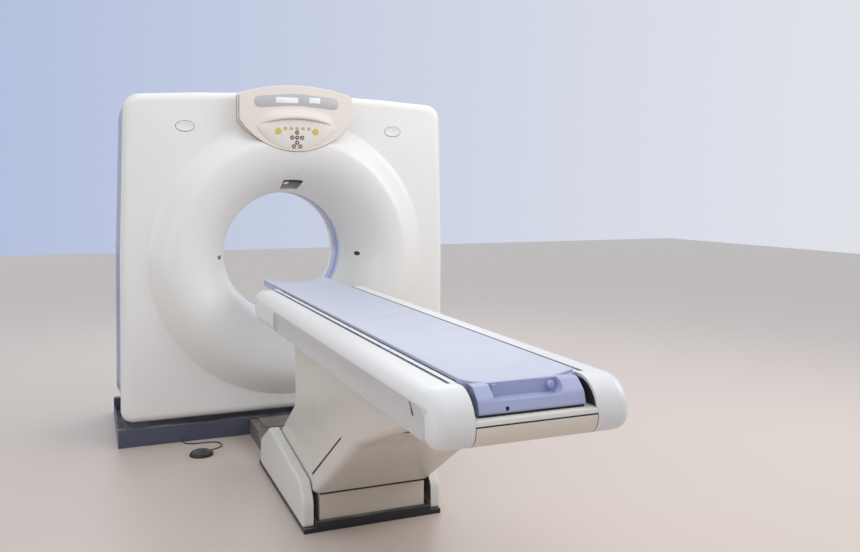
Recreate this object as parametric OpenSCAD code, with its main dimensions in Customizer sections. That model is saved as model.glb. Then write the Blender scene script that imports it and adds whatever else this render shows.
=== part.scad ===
// CT scanner: tilting gantry on its base frame, lifting patient table and foot switch.
// The origin is on the floor below the isocentre. +X is to the right seen from the foot end
// of the table, +Y runs into the gantry and +Z is up. Sizes are in millimetres.

/* [Gantry covers] */
// Room between the stanchions and the inside of the side covers
side_room = 32; // [24:1:40]
// Height of the lower edge of the covers above the floor
cover_bottom = 120; // [118:1:140]
// Height of the lower edge of the side covers above the floor
side_bottom = 245; // [210:5:300]
// Height of the crown of the arched top edge
cover_top = 1890; // [1850:5:1950]
// Drop of the arched top edge from its crown to its shoulders
cover_arch = 36; // [20:1:45]
// How far the sides bow out half way up
cover_bow = 5; // [2:1:8]
// How much narrower each side is at the shoulders
cover_taper = 10; // [4:1:16]
// Depth of the gantry between the flat faces of its front and rear covers
cover_depth = 780; // [760:2:820]
// Radius of the upper corners seen from the front
top_corner_r = 85; // [70:1:110]
// Radius of the lower corners seen from the front
bottom_corner_r = 65; // [60:1:80]
// Radius of the rounded rim of the front and rear covers
rim_r = 45; // [30:1:50]
// Wall of the moulded covers
cover_wall = 8; // [6:0.5:10]
// Depth of the lip of the front and rear covers, back to the seam
cover_lip = 70; // [62:1:90]
// Half width of the removable top cover
top_cover_half = 640; // [560:5:700]

/* [Aperture] */
// Height of the isocentre above the floor
iso_z = 985; // [980:1:990]
// Inner diameter of the patient aperture
bore_d = 700; // [690:1:704]
// Radius of the crease where the flared ring meets the flat cover
crease_r = 780; // [760:1:786]
// Radius of the crest of the flared ring
ridge_r = 625; // [600:1:650]
// How far the crest stands in front of the front cover
front_ridge = 80; // [60:1:100]
// How far the crest stands behind the rear cover
rear_ridge = 30; // [20:1:60]
// Distance from the isocentre forward to the end of the front flare
neck_front = 100; // [90:1:120]
// Distance from the isocentre back to the end of the rear flare
neck_rear = 56; // [54:1:58]
// Wall of the bore liner
liner_wall = 6; // [4:0.5:8]
// Length of the band of the scan window
window_l = 100; // [60:2:120]
// Thickness of the band of the scan window
window_t = 1; // [0.8:0.1:1.2]

/* [Gantry base] */
// How far the base frame stands out beyond the covers on each side
base_margin = 15; // [8:1:20]
// Thickness of the well plate between the rails
base_plate_t = 25; // [20:1:30]
// Height of the front and rear rails
base_rail_h = 94; // [80:1:96]
// Depth of the front and rear rails
base_rail_t = 46; // [30:1:50]
// Height of the low side rails
base_side_h = 44; // [36:1:46]
// Distance of the anchor holes from the ends of the base frame
anchor_inset = 105; // [85:1:125]
// Distance between the anchor holes along the base
anchor_dy = 540; // [500:2:580]
// Radius of the anchor holes
anchor_r = 9; // [7:0.5:11]

/* [Stanchions and tilt] */
// Width of each stanchion across the machine
stanchion_w = 70; // [60:1:74]
// Depth of each stanchion at its foot
stanchion_foot = 76; // [70:1:78]
// Depth of each stanchion under its bearing
stanchion_head = 210; // [190:1:230]
// Radius of the trunnion pins
trunnion_r = 45; // [40:1:48]
// Radial clearance of the trunnion pins in their bearings
trunnion_clear = 0.05; // [0.02:0.01:0.1]
// Outer radius of the trunnion bearing rings
trunnion_ring_r = 72; // [66:1:76]
// Room between the trunnion arms and the tilt gear housings
gear_room = 10; // [6:1:14]
// Radius of the tilt gear housing
gear_r = 122; // [110:1:130]
// Width of the tilt gear housing
gear_w = 54; // [48:1:56]
// Radius of the tilt motor
tilt_motor_r = 46; // [40:1:47]
// Length of the tilt motor
tilt_motor_l = 210; // [180:2:240]

/* [Tilt frame] */
// Distance behind the isocentre of the front face of the ring plate
frame_y = 170; // [168:1:180]
// Thickness of the ring plate
frame_t = 60; // [50:1:64]
// How far the ring plate reaches out beyond the rotor disc
frame_margin = 30; // [20:1:36]
// How far the bore of the ring plate clears the running circle of the main bearing
frame_bore_step = 10; // [6:1:15]
// Room between the rim of the ring plate and the trunnion arms
arm_room = 12; // [10:1:16]
// Thickness of the trunnion arms
arm_w = 34; // [28:1:38]
// Half height of the trunnion arms
arm_half_h = 110; // [95:1:120]
// Height of the cover brackets above and below the isocentre
bracket_z = 570; // [560:1:590]

/* [Rotor] */
// Distance behind the isocentre of the front face of the rotor disc
disc_y = 60; // [58:1:64]
// Thickness of the rotor disc
disc_t = 30; // [24:1:34]
// Outer radius of the rotor disc, which is also the driven pulley
disc_r = 660; // [650:1:670]
// Inner radius of the rotor disc
disc_bore_r = 410; // [400:1:420]
// Radius of the lightening holes in the rotor disc
disc_hole_r = 52; // [30:1:60]
// Radius where the two rings of the main bearing meet
bearing_r = 520; // [515:1:522]
// Radial running clearance of the main bearing
bearing_clear = 0.08; // [0.04:0.01:0.1]
// Radial width of the inner bearing ring
inner_ring_w = 50; // [40:1:58]
// Radial width of the outer bearing ring
outer_ring_w = 65; // [55:1:80]
// Distance from the isocentre to the focal spot
focus_r = 560; // [550:1:570]
// Radius of the X-ray tube housing
tube_r = 95; // [80:1:100]
// Length of the X-ray tube housing
tube_l = 260; // [220:2:280]
// Room between the bore liner and the detector face
detector_room = 44; // [36:1:50]
// Radial thickness of the detector
detector_t = 80; // [60:1:90]
// Width of the detector along the bore
detector_w = 90; // [70:1:100]
// Fan angle of the beam, in degrees
fan_angle = 52; // [46:1:54]

/* [Rotor drive] */
// Distance of the drive motor from the middle, across the machine
motor_x = 620; // [610:1:630]
// Depth of the drive motor below the isocentre
motor_z = 600; // [590:1:610]
// Radius of the motor pulley
pulley_r = 55; // [45:1:60]
// Radius of the motor
motor_r = 70; // [60:1:75]
// Thickness of the drive belt
belt_t = 6; // [4:0.5:8]
// Width of the drive belt
belt_w = 24; // [18:1:26]
// Gap between the belt and its pulleys
belt_clear = 0.25; // [0.2:0.05:0.5]

/* [Console] */
// Half width of the console
console_half = 316; // [306:1:324]
// Height of the lower tip of the console
console_tip = 1561; // [1550:1:1580]
// Radius of the round lower edge of the console
console_r = 379; // [360:1:400]
// How far the console stands above the crown of the cover
console_rise = 36; // [28:1:44]
// How far the console stands in front of the cover
console_proud = 82; // [76:1:90]
// Radius of the rim of the console
console_rim = 16; // [12:1:20]
// Wall of the console
console_wall = 8; // [7:0.5:9]
// Gap between the console and the cut-out in the cover
console_gap = 0.4; // [0.3:0.1:0.6]
// How far the brow stands in front of the console
brow_out = 22; // [14:1:26]
// Thickness of the keypad panel
keypad_t = 4; // [3:0.5:5]
// Radius of the two landmark buttons
landmark_r = 16.5; // [14:0.5:18]
// Radius of the keys
key_r = 11; // [9:0.5:12]
// Distance that a key travels
key_travel = 2.5; // [1.5:0.5:3]
// How far a key stands in front of the keypad panel
key_proud = 4; // [3.5:0.5:5]
// Side gap of a key in its hole
key_gap = 0.3; // [0.2:0.05:0.4]

/* [Table body] */
// Half width of the table body
table_half = 296; // [292:1:304]
// Y of the gantry end of the table body
table_head_y = -785; // [-800:1:-780]
// Y of the foot end of the table body
table_foot_y = -3140; // [-3150:1:-3136]
// Height of the top edge of the table body
table_top = 843; // [842:1:846]
// Height of the underside of the table body
table_bottom = 692; // [690:1:692]
// Wall of the table covers
table_wall = 6; // [4:0.5:7]
// Radius of the rounded outer edges of the table covers
table_edge_r = 45; // [35:1:45]
// Radius of the upper curve of the foot end
nose_top_r = 93; // [86:1:93]
// Radius of the lower curve of the foot end
nose_low_r = 55; // [50:1:55]
// Half width of the open top between the table covers
table_open_half = 205; // [202:1:208]
// Half width between the two foot end caps
foot_open_half = 180; // [178:0.5:181]
// Length of the foot end caps
cap_l = 118; // [110:1:122]
// Width of the steel strip along each side of the cradle
strip_w = 16; // [14:1:18]

/* [Cradle] */
// Y of the tip of the cradle beside the gantry
cradle_tip_y = -394; // [-410:1:-385]
// Y of the foot end of the cradle
cradle_end_y = -3039; // [-3042:1:-3036]
// Half width of the cradle
cradle_half = 175; // [174:0.5:176]
// Height of the rims of the cradle
cradle_top = 847; // [846:1:850]
// Thickness of the cradle at its rims
cradle_t = 34; // [33:1:36]
// How far the cradle dips in the middle
cradle_dip = 24; // [20:1:25]
// Thickness of the mat on the cradle
mat_t = 7; // [6:1:9]
// Half width of the handle block
handle_half = 158; // [150:1:159]
// Travel of the cradle towards the bore
cradle_travel = 1500; // [1200:10:1700]
// Radius of the release knob
knob_r = 10; // [9:0.5:12]

/* [Pedestal] */
// Half width of the pedestal cover
pedestal_half = 245; // [243:0.5:247]
// Wall of the pedestal cover
pedestal_wall = 6; // [5:0.5:6]
// Radius of the long edges of the pedestal cover
pedestal_edge_r = 26; // [16:1:30]
// Y of the lower foot edge of the pedestal cover
pedestal_foot_y = -1812; // [-1820:1:-1808]
// Y of the gantry side of the pedestal cover, above its waist
pedestal_back_y = -1450; // [-1455:1:-1445]
// Height of the lower edge of the pedestal cover
pedestal_low = 152; // [152:1:160]
// Height of the waist on the gantry side
waist_z = 430; // [410:1:450]

/* [Table base and lift] */
// Half width of the table base at the floor
tbase_half = 290; // [280:1:294]
// Y of the gantry end of the table base
tbase_back_y = -900; // [-940:5:-880]
// Y of the foot end of the table base
tbase_front_y = -1816; // [-1830:1:-1812]
// Inner face of the base wings, from the middle
wing_in = 250; // [249:0.5:254]
// Outer face of the base wings, from the middle
wing_out = 294; // [290:1:300]
// Distance between the table's anchor holes across the base
tanchor_dx = 380; // [340:2:400]
// Distance between the table's anchor holes along the base
tanchor_dy = 800; // [760:5:820]
// Half width of the inner lift column
column_half = 80; // [70:1:90]
// Y of the middle of the lift column
column_y = -1600; // [-1605:1:-1595]
// Wall of the lift columns
column_wall = 10; // [8:1:12]
// Gap between the lift columns
column_gap = 0.4; // [0.3:0.1:0.6]
// Height of the top of the outer column
column_top = 440; // [420:1:450]
// Travel of the table down from the scanning height
lift_down = 220; // [160:5:220]
// Travel of the table up from the scanning height
lift_up = 60; // [30:5:60]
// Radius of the lift ram
ram_r = 20; // [16:1:24]
// Radial clearance of the lift ram
ram_clear = 0.05; // [0.03:0.01:0.1]

/* [Floor duct and foot switch] */
// Half width of the floor duct
duct_half = 245; // [200:5:260]
// Height of the floor duct
duct_h = 84; // [60:1:90]
// Radius of the foot switch
switch_r = 60; // [50:1:70]
// Height of the base ring of the foot switch
switch_base_h = 12; // [10:1:16]
// Height of the domed pedal above its base ring
pedal_h = 16; // [12:1:22]
// Travel of the pedal
pedal_travel = 4; // [2:0.5:5]
// Diameter of the foot switch cord
cord_d = 6; // [5:0.5:7]

/* [Hidden] */
$fn = 64;
bore_r = bore_d / 2;
detector_r = focus_r + bore_r + liner_wall + detector_room;
bearing_in_r = bearing_r - inner_ring_w;
bearing_out_r = bearing_r + outer_ring_w;
frame_bore_r = bearing_r + frame_bore_step;
frame_r = disc_r + frame_margin;
arm_x = frame_r + arm_room;
stanchion_x = arm_x + arm_w + gear_room + gear_w;
cover_w = 2 * (stanchion_x + stanchion_w + side_room + cover_wall);
base_w = cover_w + 2 * base_margin;
anchor_dx = base_w - 2 * anchor_inset;
half_depth = cover_depth / 2;
low_z = iso_z - cover_bottom;
crown_z = cover_top - iso_z;
shoulder_z = crown_z - cover_arch;
seam = half_depth - cover_lip;
arm_gap = 0.3;
lap = 1;

// The points of one corner of an outline: v is [x, y, radius, steps], d the inset
function unit(p) = p / norm(p);
function corner(v0, v1, v2, d) =
    let (a = unit([v1[0] - v0[0], v1[1] - v0[1]]), b = unit([v2[0] - v1[0], v2[1] - v1[1]]),
         n1 = [a[1], -a[0]], n2 = [b[1], -b[0]],
         side = a[0] * b[1] - a[1] * b[0] < 0 ? -1 : 1,
         turn = acos(min(1, max(-1, a * b))),
         c = [v1[0], v1[1]] - side * v1[2] * (n1 + n2) / (1 + n1 * n2),
         t1 = atan2(n1[1], n1[0]))
    [for (i = [0:v1[3]]) let (t = t1 + side * turn * i / v1[3])
        c + side * (v1[2] - side * d) * [cos(t), sin(t)]];
// A closed outline with rounded corners, anticlockwise, moved in by d
function rounded(v, d = 0) = let (n = len(v))
    [for (i = [0:n - 1]) each corner(v[(i + n - 1) % n], v[i], v[(i + 1) % n], d)];
// Rings of a body with a straight side from z0 and a rounded edge of radius r at z1
function rim_rings(shape, z0, z1, r, d = 0, steps = 5) = concat(
    [[z0, shape(d)]],
    [for (i = [0:steps]) let (a = 90 * i / steps)
        [z1 - r + r * sin(a), shape(d + r * (1 - cos(a)))]]);
// A body through rings of equally many points, each ring [height, points]
module loft(rings) {
    n = len(rings[0][1]);
    m = len(rings);
    polyhedron(
        [for (r = rings) each [for (p = r[1]) [p[0], p[1], r[0]]]],
        concat([[for (i = [0:n - 1]) i]],
            [for (k = [0:m - 2], i = [0:n - 1]) let (j = (i + 1) % n)
                each [[k * n + i, (k + 1) * n + i, k * n + j],
                      [k * n + j, (k + 1) * n + i, (k + 1) * n + j]]],
            [[for (i = [n - 1:-1:0]) (m - 1) * n + i]]), convexity = 8);
}
// A moulded cup with its mouth at z0 and a rounded closed end at z1
module cup(shape, z0, z1, r, wall) {
    difference() {
        loft(rim_rings(shape, z0, z1, r));
        loft(rim_rings(shape, z0 - lap, z1 - wall, r - wall, wall));
    }
}
// Places children with their z along the patient axis, towards the foot of the table
module at_isocentre() { translate([0, 0, iso_z]) rotate([90, 0, 0]) children(); }
// Places children drawn in Y and Z with their z along +X
module sideways() { rotate([90, 0, 90]) children(); }
module both_sides() { children(); mirror([1, 0, 0]) children(); }
module ring(r_out, r_in, z0, z1) {
    translate([0, 0, z0]) difference() {
        cylinder(r = r_out, h = z1 - z0);
        translate([0, 0, -lap]) cylinder(r = r_in, h = z1 - z0 + 2 * lap);
    }
}
module block(x0, x1, y0, y1, z0, z1) {
    translate([x0, y0, z0]) cube([x1 - x0, y1 - y0, z1 - z0]);
}

// Gantry covers
half_w = cover_w / 2;
arch_n = 6;
arch_w = half_w - cover_taper - top_corner_r;
arch_r = 900;
gantry_shape = function (d) rounded(concat(
    [[half_w, -low_z, bottom_corner_r, 6], [half_w + cover_bow, 0, arch_r, 1],
     [half_w - cover_taper, shoulder_z, top_corner_r, 6]],
    [for (i = [1:arch_n - 1]) let (x = arch_w * (1 - 2 * i / arch_n))
        [x, crown_z - cover_arch * pow(x / half_w, 2), arch_r, 1]],
    [[cover_taper - half_w, shoulder_z, top_corner_r, 6], [-half_w - cover_bow, 0, arch_r, 1],
     [-half_w, -low_z, bottom_corner_r, 6]]), d);
dish_n = 14;
slope_n = 7;
// Visible profile of the flared ring: radius and distance in front of the isocentre
function flare(out, neck, w) = concat(
    [for (i = [0:slope_n]) let (t = i / slope_n)
        [crease_r + (ridge_r - crease_r) * t, half_depth - w + out * sin(90 * t)]],
    [for (i = [1:dish_n]) let (a = 90 * (1 - i / dish_n))
        [ridge_r - (ridge_r - bore_r - w) * cos(a),
         neck + (half_depth + out - neck - w) * sin(a)]]);
function reversed(p) = [for (i = [len(p) - 1:-1:0]) p[i]];
module flared_ring(out, neck) {
    rotate_extrude($fn = 96)
        polygon(concat(flare(out, neck, 0), reversed(flare(out, neck, cover_wall))));
}
// Inner face of the side covers at height z above the isocentre
function cover_in(z) = half_w + cover_bow - (cover_bow + cover_taper) * z / shoulder_z - cover_wall;
// Notches in the lower lip, where it passes the stanchions at full tilt
foot_room = 8;
notch_h = 30;
notch_back = 30;
module foot_notches() {
    both_sides() block(stanchion_x - foot_room, stanchion_out + foot_room, -low_z - lap,
        notch_h - low_z, seam - lap, half_depth - notch_back);
}
module end_cover(out, neck) {
    difference() {
        cup(gantry_shape, seam, half_depth, rim_r, cover_wall);
        cylinder(r = crease_r, h = half_depth + lap);
        foot_notches();
    }
    flared_ring(out, neck);
}
// Half angle, at radius r on the front flare, between its surface normal and the axis
flare_a = ridge_r - bore_r;
flare_b = half_depth + front_ridge - neck_front;
function flare_t(r) = acos((ridge_r - r) / flare_a);
function flare_u(r) = neck_front + flare_b * sin(flare_t(r));
function flare_tilt(r) = atan2(cos(flare_t(r)) / flare_a, sin(flare_t(r)) / flare_b);
module on_flare(r, turn) {
    rotate([0, 0, turn]) translate([r, 0, flare_u(r)]) rotate([0, -flare_tilt(r), 0])
        children();
}
laser_r = 397;
laser_lens_r = 12;
light_r = 391;
light_turn = 89.4;
light_w = 112;
light_h = 122;
lens_depth = 14;
lens_gap = 0.3;
module lens_places() {
    for (turn = [-1.5, 181.5]) on_flare(laser_r, turn) cylinder(r = laser_lens_r + $gap,
        h = 2 * lens_depth, center = true);
    on_flare(light_r, light_turn) translate([-light_h / 2 - $gap, -light_w / 2 - $gap, -lens_depth])
        cube([light_h + 2 * $gap, light_w + 2 * $gap, 2 * lens_depth]);
}
cap_x = 590;
cap_z = 706;
cap_w = 96;
cap_h = 56;
cap_t = 3;
cap_plug = 34;
module front_cover() {
    color("whitesmoke") at_isocentre() difference() {
        end_cover(front_ridge, neck_front);
        lens_places($gap = lens_gap);
        translate([0, 0, seam + console_back]) linear_extrude(cover_depth)
            polygon(console_shape(-console_gap));
        both_sides() translate([cap_x, cap_z, seam]) cylinder(r = cap_plug / 2 + lens_gap,
            h = cover_depth);
    }
}
module rear_cover() {
    color("whitesmoke") at_isocentre() mirror([0, 0, 1]) end_cover(rear_ridge, neck_rear);
}
// The side and top covers are parts of one ring of sheet, cut at the same lines
module cover_ring() {
    translate([0, 0, -seam]) linear_extrude(2 * seam) difference() {
        polygon(gantry_shape(0));
        polygon(gantry_shape(cover_wall));
    }
}
cover_joint = 0.4;
module side_covers() {
    color("slategray") at_isocentre() both_sides() intersection() {
        cover_ring();
        block(top_cover_half, cover_w, side_bottom - iso_z, cover_w, -seam, seam);
    }
}
module top_cover() {
    color("whitesmoke") at_isocentre() intersection() {
        cover_ring();
        block(-top_cover_half + cover_joint, top_cover_half - cover_joint, 0, cover_w, -seam, seam);
    }
}
module bore_liner() {
    color("lightsteelblue") at_isocentre() ring(bore_r + liner_wall, bore_r, -neck_rear, neck_front);
}
module scan_window() {
    color("midnightblue") at_isocentre() ring(bore_r, bore_r - window_t, -window_l / 2, window_l / 2);
}
module light_windows() {
    color("#222426") at_isocentre() intersection() {
        lens_places($gap = 0);
        rotate_extrude($fn = 96) polygon(concat(flare(front_ridge, neck_front, 0),
            reversed(flare(front_ridge, neck_front, cover_wall))));
    }
}
module cover_caps() {
    color("lightgray") at_isocentre() both_sides() translate([cap_x, cap_z, half_depth]) {
        linear_extrude(cap_t) polygon([for (i = [0:31]) let (a = 360 * i / 32)
            [cap_w / 2 * cos(a), cap_h / 2 * sin(a)]]);
        translate([0, 0, -cover_wall]) cylinder(r = cap_plug / 2, h = cover_wall + cap_t / 2);
    }
}

// Console
console_back = 10;
console_face = half_depth + console_proud;
console_n = 12;
tip_z = console_tip - iso_z;
function sag(x, r) = r - sqrt(r * r - x * x);
side_z = tip_z + sag(console_half, console_r);
roof_z = crown_z + console_rise;
roof_drop = 46;
function console_shape(d) = rounded(concat(
    [for (i = [1:console_n - 1]) let (x = console_half * (2 * i / console_n - 1))
        [x, tip_z + sag(x, console_r), 80, 1]],
    [[console_half, side_z, 30, 3], [console_half, roof_z - roof_drop, 24, 3],
     [console_half / 2, roof_z - roof_drop / 4, 200, 1],
     [-console_half / 2, roof_z - roof_drop / 4, 200, 1],
     [-console_half, roof_z - roof_drop, 24, 3], [-console_half, side_z, 30, 3]]), d);
// Ledge between the brow and the keypad, and the upper edge of the brow
ledge_z = 756;
ledge_sag = 0.00079;
brow_half = 205;
brow_top = 822;
function arc_z(z, x) = z - ledge_sag * x * x;
arc_n = 14;
function band(z_low, z_high, half, low, high) = concat(
    [for (i = [0:arc_n]) let (x = (half - low) * (2 * i / arc_n - 1)) [x, arc_z(z_low, x) + low]],
    [for (i = [arc_n:-1:0]) let (x = (half - low) * (2 * i / arc_n - 1)) [x, arc_z(z_high, x) - high]]);
pocket_floor = console_face - console_wall + 2;
key_back = pocket_floor + key_travel + 0.5;
key_front = console_face + keypad_t + key_proud;
landmark_x = 104;
landmark_z = 687;
row_gap = 28;
keys = [[0, 681], [-row_gap, 653], [0, 653], [row_gap, 653], [0, 625], [-18, 604], [18, 604]];
module key_hole(x, z, r, gap) {
    translate([x, z, pocket_floor]) cylinder(r = r + gap, h = console_proud);
}
module key_holes() {
    for (k = keys) key_hole(k[0], k[1], key_r, key_gap);
    for (s = [-1, 1]) key_hole(s * landmark_x, landmark_z, landmark_r, key_gap);
}
module console_housing() {
    color("antiquewhite") at_isocentre() difference() {
        union() {
            cup(function (d) console_shape(d), seam + console_back + 1, console_face,
                console_rim, console_wall);
            translate([0, 0, seam + console_back + 1]) linear_extrude(console_wall) intersection() {
                polygon(console_shape(0));
                translate([-console_half, crown_z - roof_drop]) square([2 * console_half, 120]);
            }
            loft([[console_face, band(ledge_z, brow_top, brow_half, 0, 0)],
                  [console_face + 0.55 * brow_out, band(ledge_z, brow_top, brow_half, 1, 8)],
                  [console_face + 0.9 * brow_out, band(ledge_z, brow_top, brow_half, 3, 22)],
                  [console_face + brow_out, band(ledge_z, brow_top, brow_half, 6, 32)]]);
        }
        key_holes();
    }
}
strip_low = 833;
strip_high = 897;
strip_drop = 22;
strip_half = 236;
strip_t = 2;
display_t = 1.5;
module display_strip() {
    color("silver") at_isocentre() {
        translate([0, 0, console_face]) linear_extrude(strip_t)
            polygon(rounded([[-strip_half, strip_low - strip_drop, 30, 5], [0, strip_low, 600, 6],
                [strip_half, strip_low - strip_drop, 30, 5],
                [strip_half, strip_high - strip_drop, 30, 5],
                [0, strip_high, 600, 6], [-strip_half, strip_high - strip_drop, 30, 5]]));
        for (p = [[-119, 842, 124], [68, 845, 63]])
            translate([p[0], p[1], console_face]) cube([p[2], 31, strip_t + display_t]);
    }
}
pad_half = 216;
pad_r = 270;
pad_low = 588;
module keypad_shape() {
    polygon(concat(
        [for (i = [0:arc_n]) let (x = pad_half * (2 * i / arc_n - 1)) [x, pad_low + sag(x, pad_r)]],
        [for (i = [arc_n:-1:0]) let (x = pad_half * (2 * i / arc_n - 1))
            [x, arc_z(ledge_z, x) - 2]]));
}
module keypad_panel() {
    color("linen") at_isocentre() difference() {
        translate([0, 0, console_face]) linear_extrude(keypad_t) keypad_shape();
        key_holes();
    }
}
lamp_r = 10;
lamp_gap = 33;
module indicator_lamps() {
    color("gold") at_isocentre() for (i = [-2:2])
        translate([i * lamp_gap, 704 - abs(i), console_face + keypad_t]) cylinder(r = lamp_r, h = 2);
}
module push_key(x, z, r) {
    at_isocentre() translate([x, z, key_back]) {
        cylinder(r = r, h = key_front - key_back - 1);
        translate([0, 0, key_front - key_back - 1]) cylinder(r1 = r, r2 = r - 1, h = 1);
    }
}
module key(i) { color("dimgray") push_key(keys[i][0], keys[i][1], key_r); }
module landmark_button(side) { color("gold") push_key(side * landmark_x, landmark_z, landmark_r); }

// Base frame of the gantry
module corner_holes(dx, dy, r, h) {
    for (x = [-dx / 2, dx / 2], y = [-dy / 2, dy / 2]) translate([x, y, -lap]) cylinder(r = r, h = h);
}
module gantry_base() {
    color("darkslategray") difference() {
        union() {
            block(-base_w / 2, base_w / 2, -half_depth, half_depth, 0, base_plate_t);
            for (y = [-half_depth, half_depth - base_rail_t])
                block(-base_w / 2, base_w / 2, y, y + base_rail_t, 0, base_rail_h);
            for (x = [-base_w / 2, base_w / 2 - 14])
                block(x, x + 14, -half_depth, half_depth, 0, base_side_h);
        }
        corner_holes(anchor_dx, anchor_dy, anchor_r, base_plate_t + 2 * lap);
    }
}
head_r = stanchion_head / 2;
foot_plate_t = 16;
stanchion_out = stanchion_x + stanchion_w;
module stanchions() {
    color("dimgray") both_sides() {
        difference() {
            translate([stanchion_x, 0, 0]) sideways() linear_extrude(stanchion_w) polygon([
                [stanchion_foot / 2, base_plate_t + foot_plate_t], [head_r, iso_z],
                [-head_r, iso_z], [-stanchion_foot / 2, base_plate_t + foot_plate_t]]);
            translate([stanchion_x - lap, 0, iso_z]) rotate([0, 90, 0])
                cylinder(r = trunnion_ring_r, h = stanchion_w + 2 * lap);
        }
        translate([stanchion_x, 0, iso_z]) rotate([0, 90, 0]) difference() {
            cylinder(r = head_r, h = stanchion_w);
            translate([0, 0, -lap]) cylinder(r = trunnion_ring_r, h = stanchion_w + 2 * lap);
        }
        block(stanchion_x - 50, stanchion_out + 18, -150, 150, base_plate_t,
            base_plate_t + foot_plate_t);
    }
}
module trunnion_bearings() {
    color("silver") both_sides() translate([stanchion_x, 0, iso_z]) rotate([0, 90, 0])
        ring(trunnion_ring_r, trunnion_r + trunnion_clear, 0, stanchion_w);
}
gear_x = stanchion_x - gear_w;
motor_top = 190;
module tilt_gearmotor() {
    color("steelblue") translate([0, 0, iso_z]) difference() {
        union() {
            translate([gear_x, 0, 0]) rotate([0, 90, 0]) cylinder(r = gear_r, h = gear_w);
            block(gear_x, gear_x + gear_w, -50, 50, -motor_top, 0);
            translate([stanchion_x - tilt_motor_r - 2, 0, -motor_top - tilt_motor_l])
                cylinder(r = tilt_motor_r, h = tilt_motor_l);
        }
        translate([gear_x - lap, 0, 0]) rotate([0, 90, 0])
            cylinder(r = trunnion_r + trunnion_clear, h = gear_w + 2 * lap);
    }
}

// Tilting frame, main bearing and drive. Here z is in front of the isocentre.
frame_front = -frame_y;
frame_back = -frame_y - frame_t;
bracket_h = 50;
post_x = 620;
post_low_x = 440;
post_r = 18;
shaft_r = 14;
shaft_clear = 0.05;
module tilt_frame() {
    color("lightslategray") at_isocentre() difference() {
        union() {
            translate([0, 0, frame_back]) cylinder(r = frame_r, h = frame_t);
            translate([motor_x, -motor_z, frame_back]) cylinder(r = motor_r + 30, h = frame_t);
            translate([0, 0, frame_back]) rotate([0, 0, atan2(-motor_z, motor_x)])
                translate([bearing_out_r, -motor_r - 30, 0]) cube([220, 2 * (motor_r + 30), frame_t]);
            both_sides() {
                block(frame_bore_r + 60, arm_x + arm_w, -arm_half_h, arm_half_h, frame_back, frame_front);
                block(arm_x, arm_x + arm_w, -arm_half_h, arm_half_h, frame_back, arm_half_h * 0.7);
                translate([0, 0, frame_back]) linear_extrude(40) polygon([[300, bracket_z],
                    [cover_in(bracket_z), bracket_z],
                    [cover_in(bracket_z + bracket_h), bracket_z + bracket_h],
                    [300, bracket_z + bracket_h]]);
                block(300, post_x + 40, -bracket_z - bracket_h, -bracket_z,
                    frame_back, frame_back + 40);
                for (p = [[post_x, bracket_z + bracket_h / 2], [post_low_x, -bracket_z - bracket_h / 2]])
                    translate([p[0], p[1], -half_depth + cover_wall])
                        cylinder(r = post_r, h = half_depth - cover_wall + frame_back + lap);
            }
        }
        translate([0, 0, frame_back - lap]) cylinder(r = frame_bore_r, h = frame_t + 2 * lap);
        translate([motor_x, -motor_z, frame_back - lap]) cylinder(r = shaft_r + 8, h = frame_t + 2 * lap);
        both_sides() translate([arm_x - lap, 0, 0]) rotate([0, 90, 0])
            cylinder(r = trunnion_r, h = arm_w + 2 * lap);
    }
}
module trunnion_pins() {
    color("silver") both_sides() translate([arm_x, 0, iso_z]) rotate([0, 90, 0])
        cylinder(r = trunnion_r, h = stanchion_out + 8 - arm_x);
}
disc_back = -disc_y - disc_t;
race_gap = 4;
module bearing_outer_ring() {
    color("silver") at_isocentre()
        ring(bearing_out_r, bearing_r + bearing_clear, frame_front, disc_back - race_gap);
}
module bearing_inner_ring() {
    color("silver") at_isocentre() ring(bearing_r, bearing_in_r, frame_front + race_gap, disc_back);
}
module slip_ring() {
    color("goldenrod") at_isocentre() difference() {
        translate([0, 0, frame_back + 8]) cylinder(r = bearing_r - 8,
            h = frame_t + race_gap - 8);
        translate([0, 0, frame_back]) cylinder(r = bearing_in_r - 22, h = frame_t + 2 * race_gap);
        for (i = [1:4]) translate([0, 0, frame_back + 4 + 10 * i])
            ring(bearing_r, bearing_r - 12, 0, 3);
    }
}
brush_w = 120;
module brush_block() {
    color("black") at_isocentre() difference() {
        block(-brush_w / 2, brush_w / 2, bearing_r - 20, frame_bore_r + 2, frame_back + 12, frame_front - 8);
        translate([0, 0, frame_back]) cylinder(r = bearing_r - 8 + arm_gap, h = frame_t);
        translate([0, 0, frame_back]) ring(frame_bore_r + 40, frame_bore_r, 0, frame_t);
    }
}
module drive_motor() {
    color("dimgray") at_isocentre() translate([motor_x, -motor_z, -half_depth + cover_wall + 14])
        difference() {
            cylinder(r = motor_r, h = half_depth - cover_wall - 14 + frame_back);
            translate([0, 0, 60]) cylinder(r = shaft_r + shaft_clear, h = half_depth);
        }
}
module motor_pulley() {
    color("darkgray") at_isocentre() translate([motor_x, -motor_z, 0]) {
        translate([0, 0, disc_back]) cylinder(r = pulley_r, h = disc_t);
        for (z = [disc_back - 3, -disc_y]) translate([0, 0, z]) cylinder(r = pulley_r + belt_t + 4, h = 3);
        translate([0, 0, frame_back - 30]) cylinder(r = shaft_r, h = 30 - frame_back + disc_back);
    }
}
belt_arc_n = 150;
belt_centre = norm([motor_x, motor_z]);
belt_dir = atan2(-motor_z, motor_x);
belt_lean = acos((disc_r - pulley_r) / belt_centre);
function arc(c, r, a0, a1, n) = [for (i = [0:n]) let (a = a0 + (a1 - a0) * i / n)
    c + r * [cos(a), sin(a)]];
function belt_line(off) = concat(
    arc([0, 0], disc_r + off, belt_dir + belt_lean, belt_dir - belt_lean + 360, belt_arc_n),
    arc([motor_x, -motor_z], pulley_r + off, belt_dir - belt_lean, belt_dir + belt_lean, 24));
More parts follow.
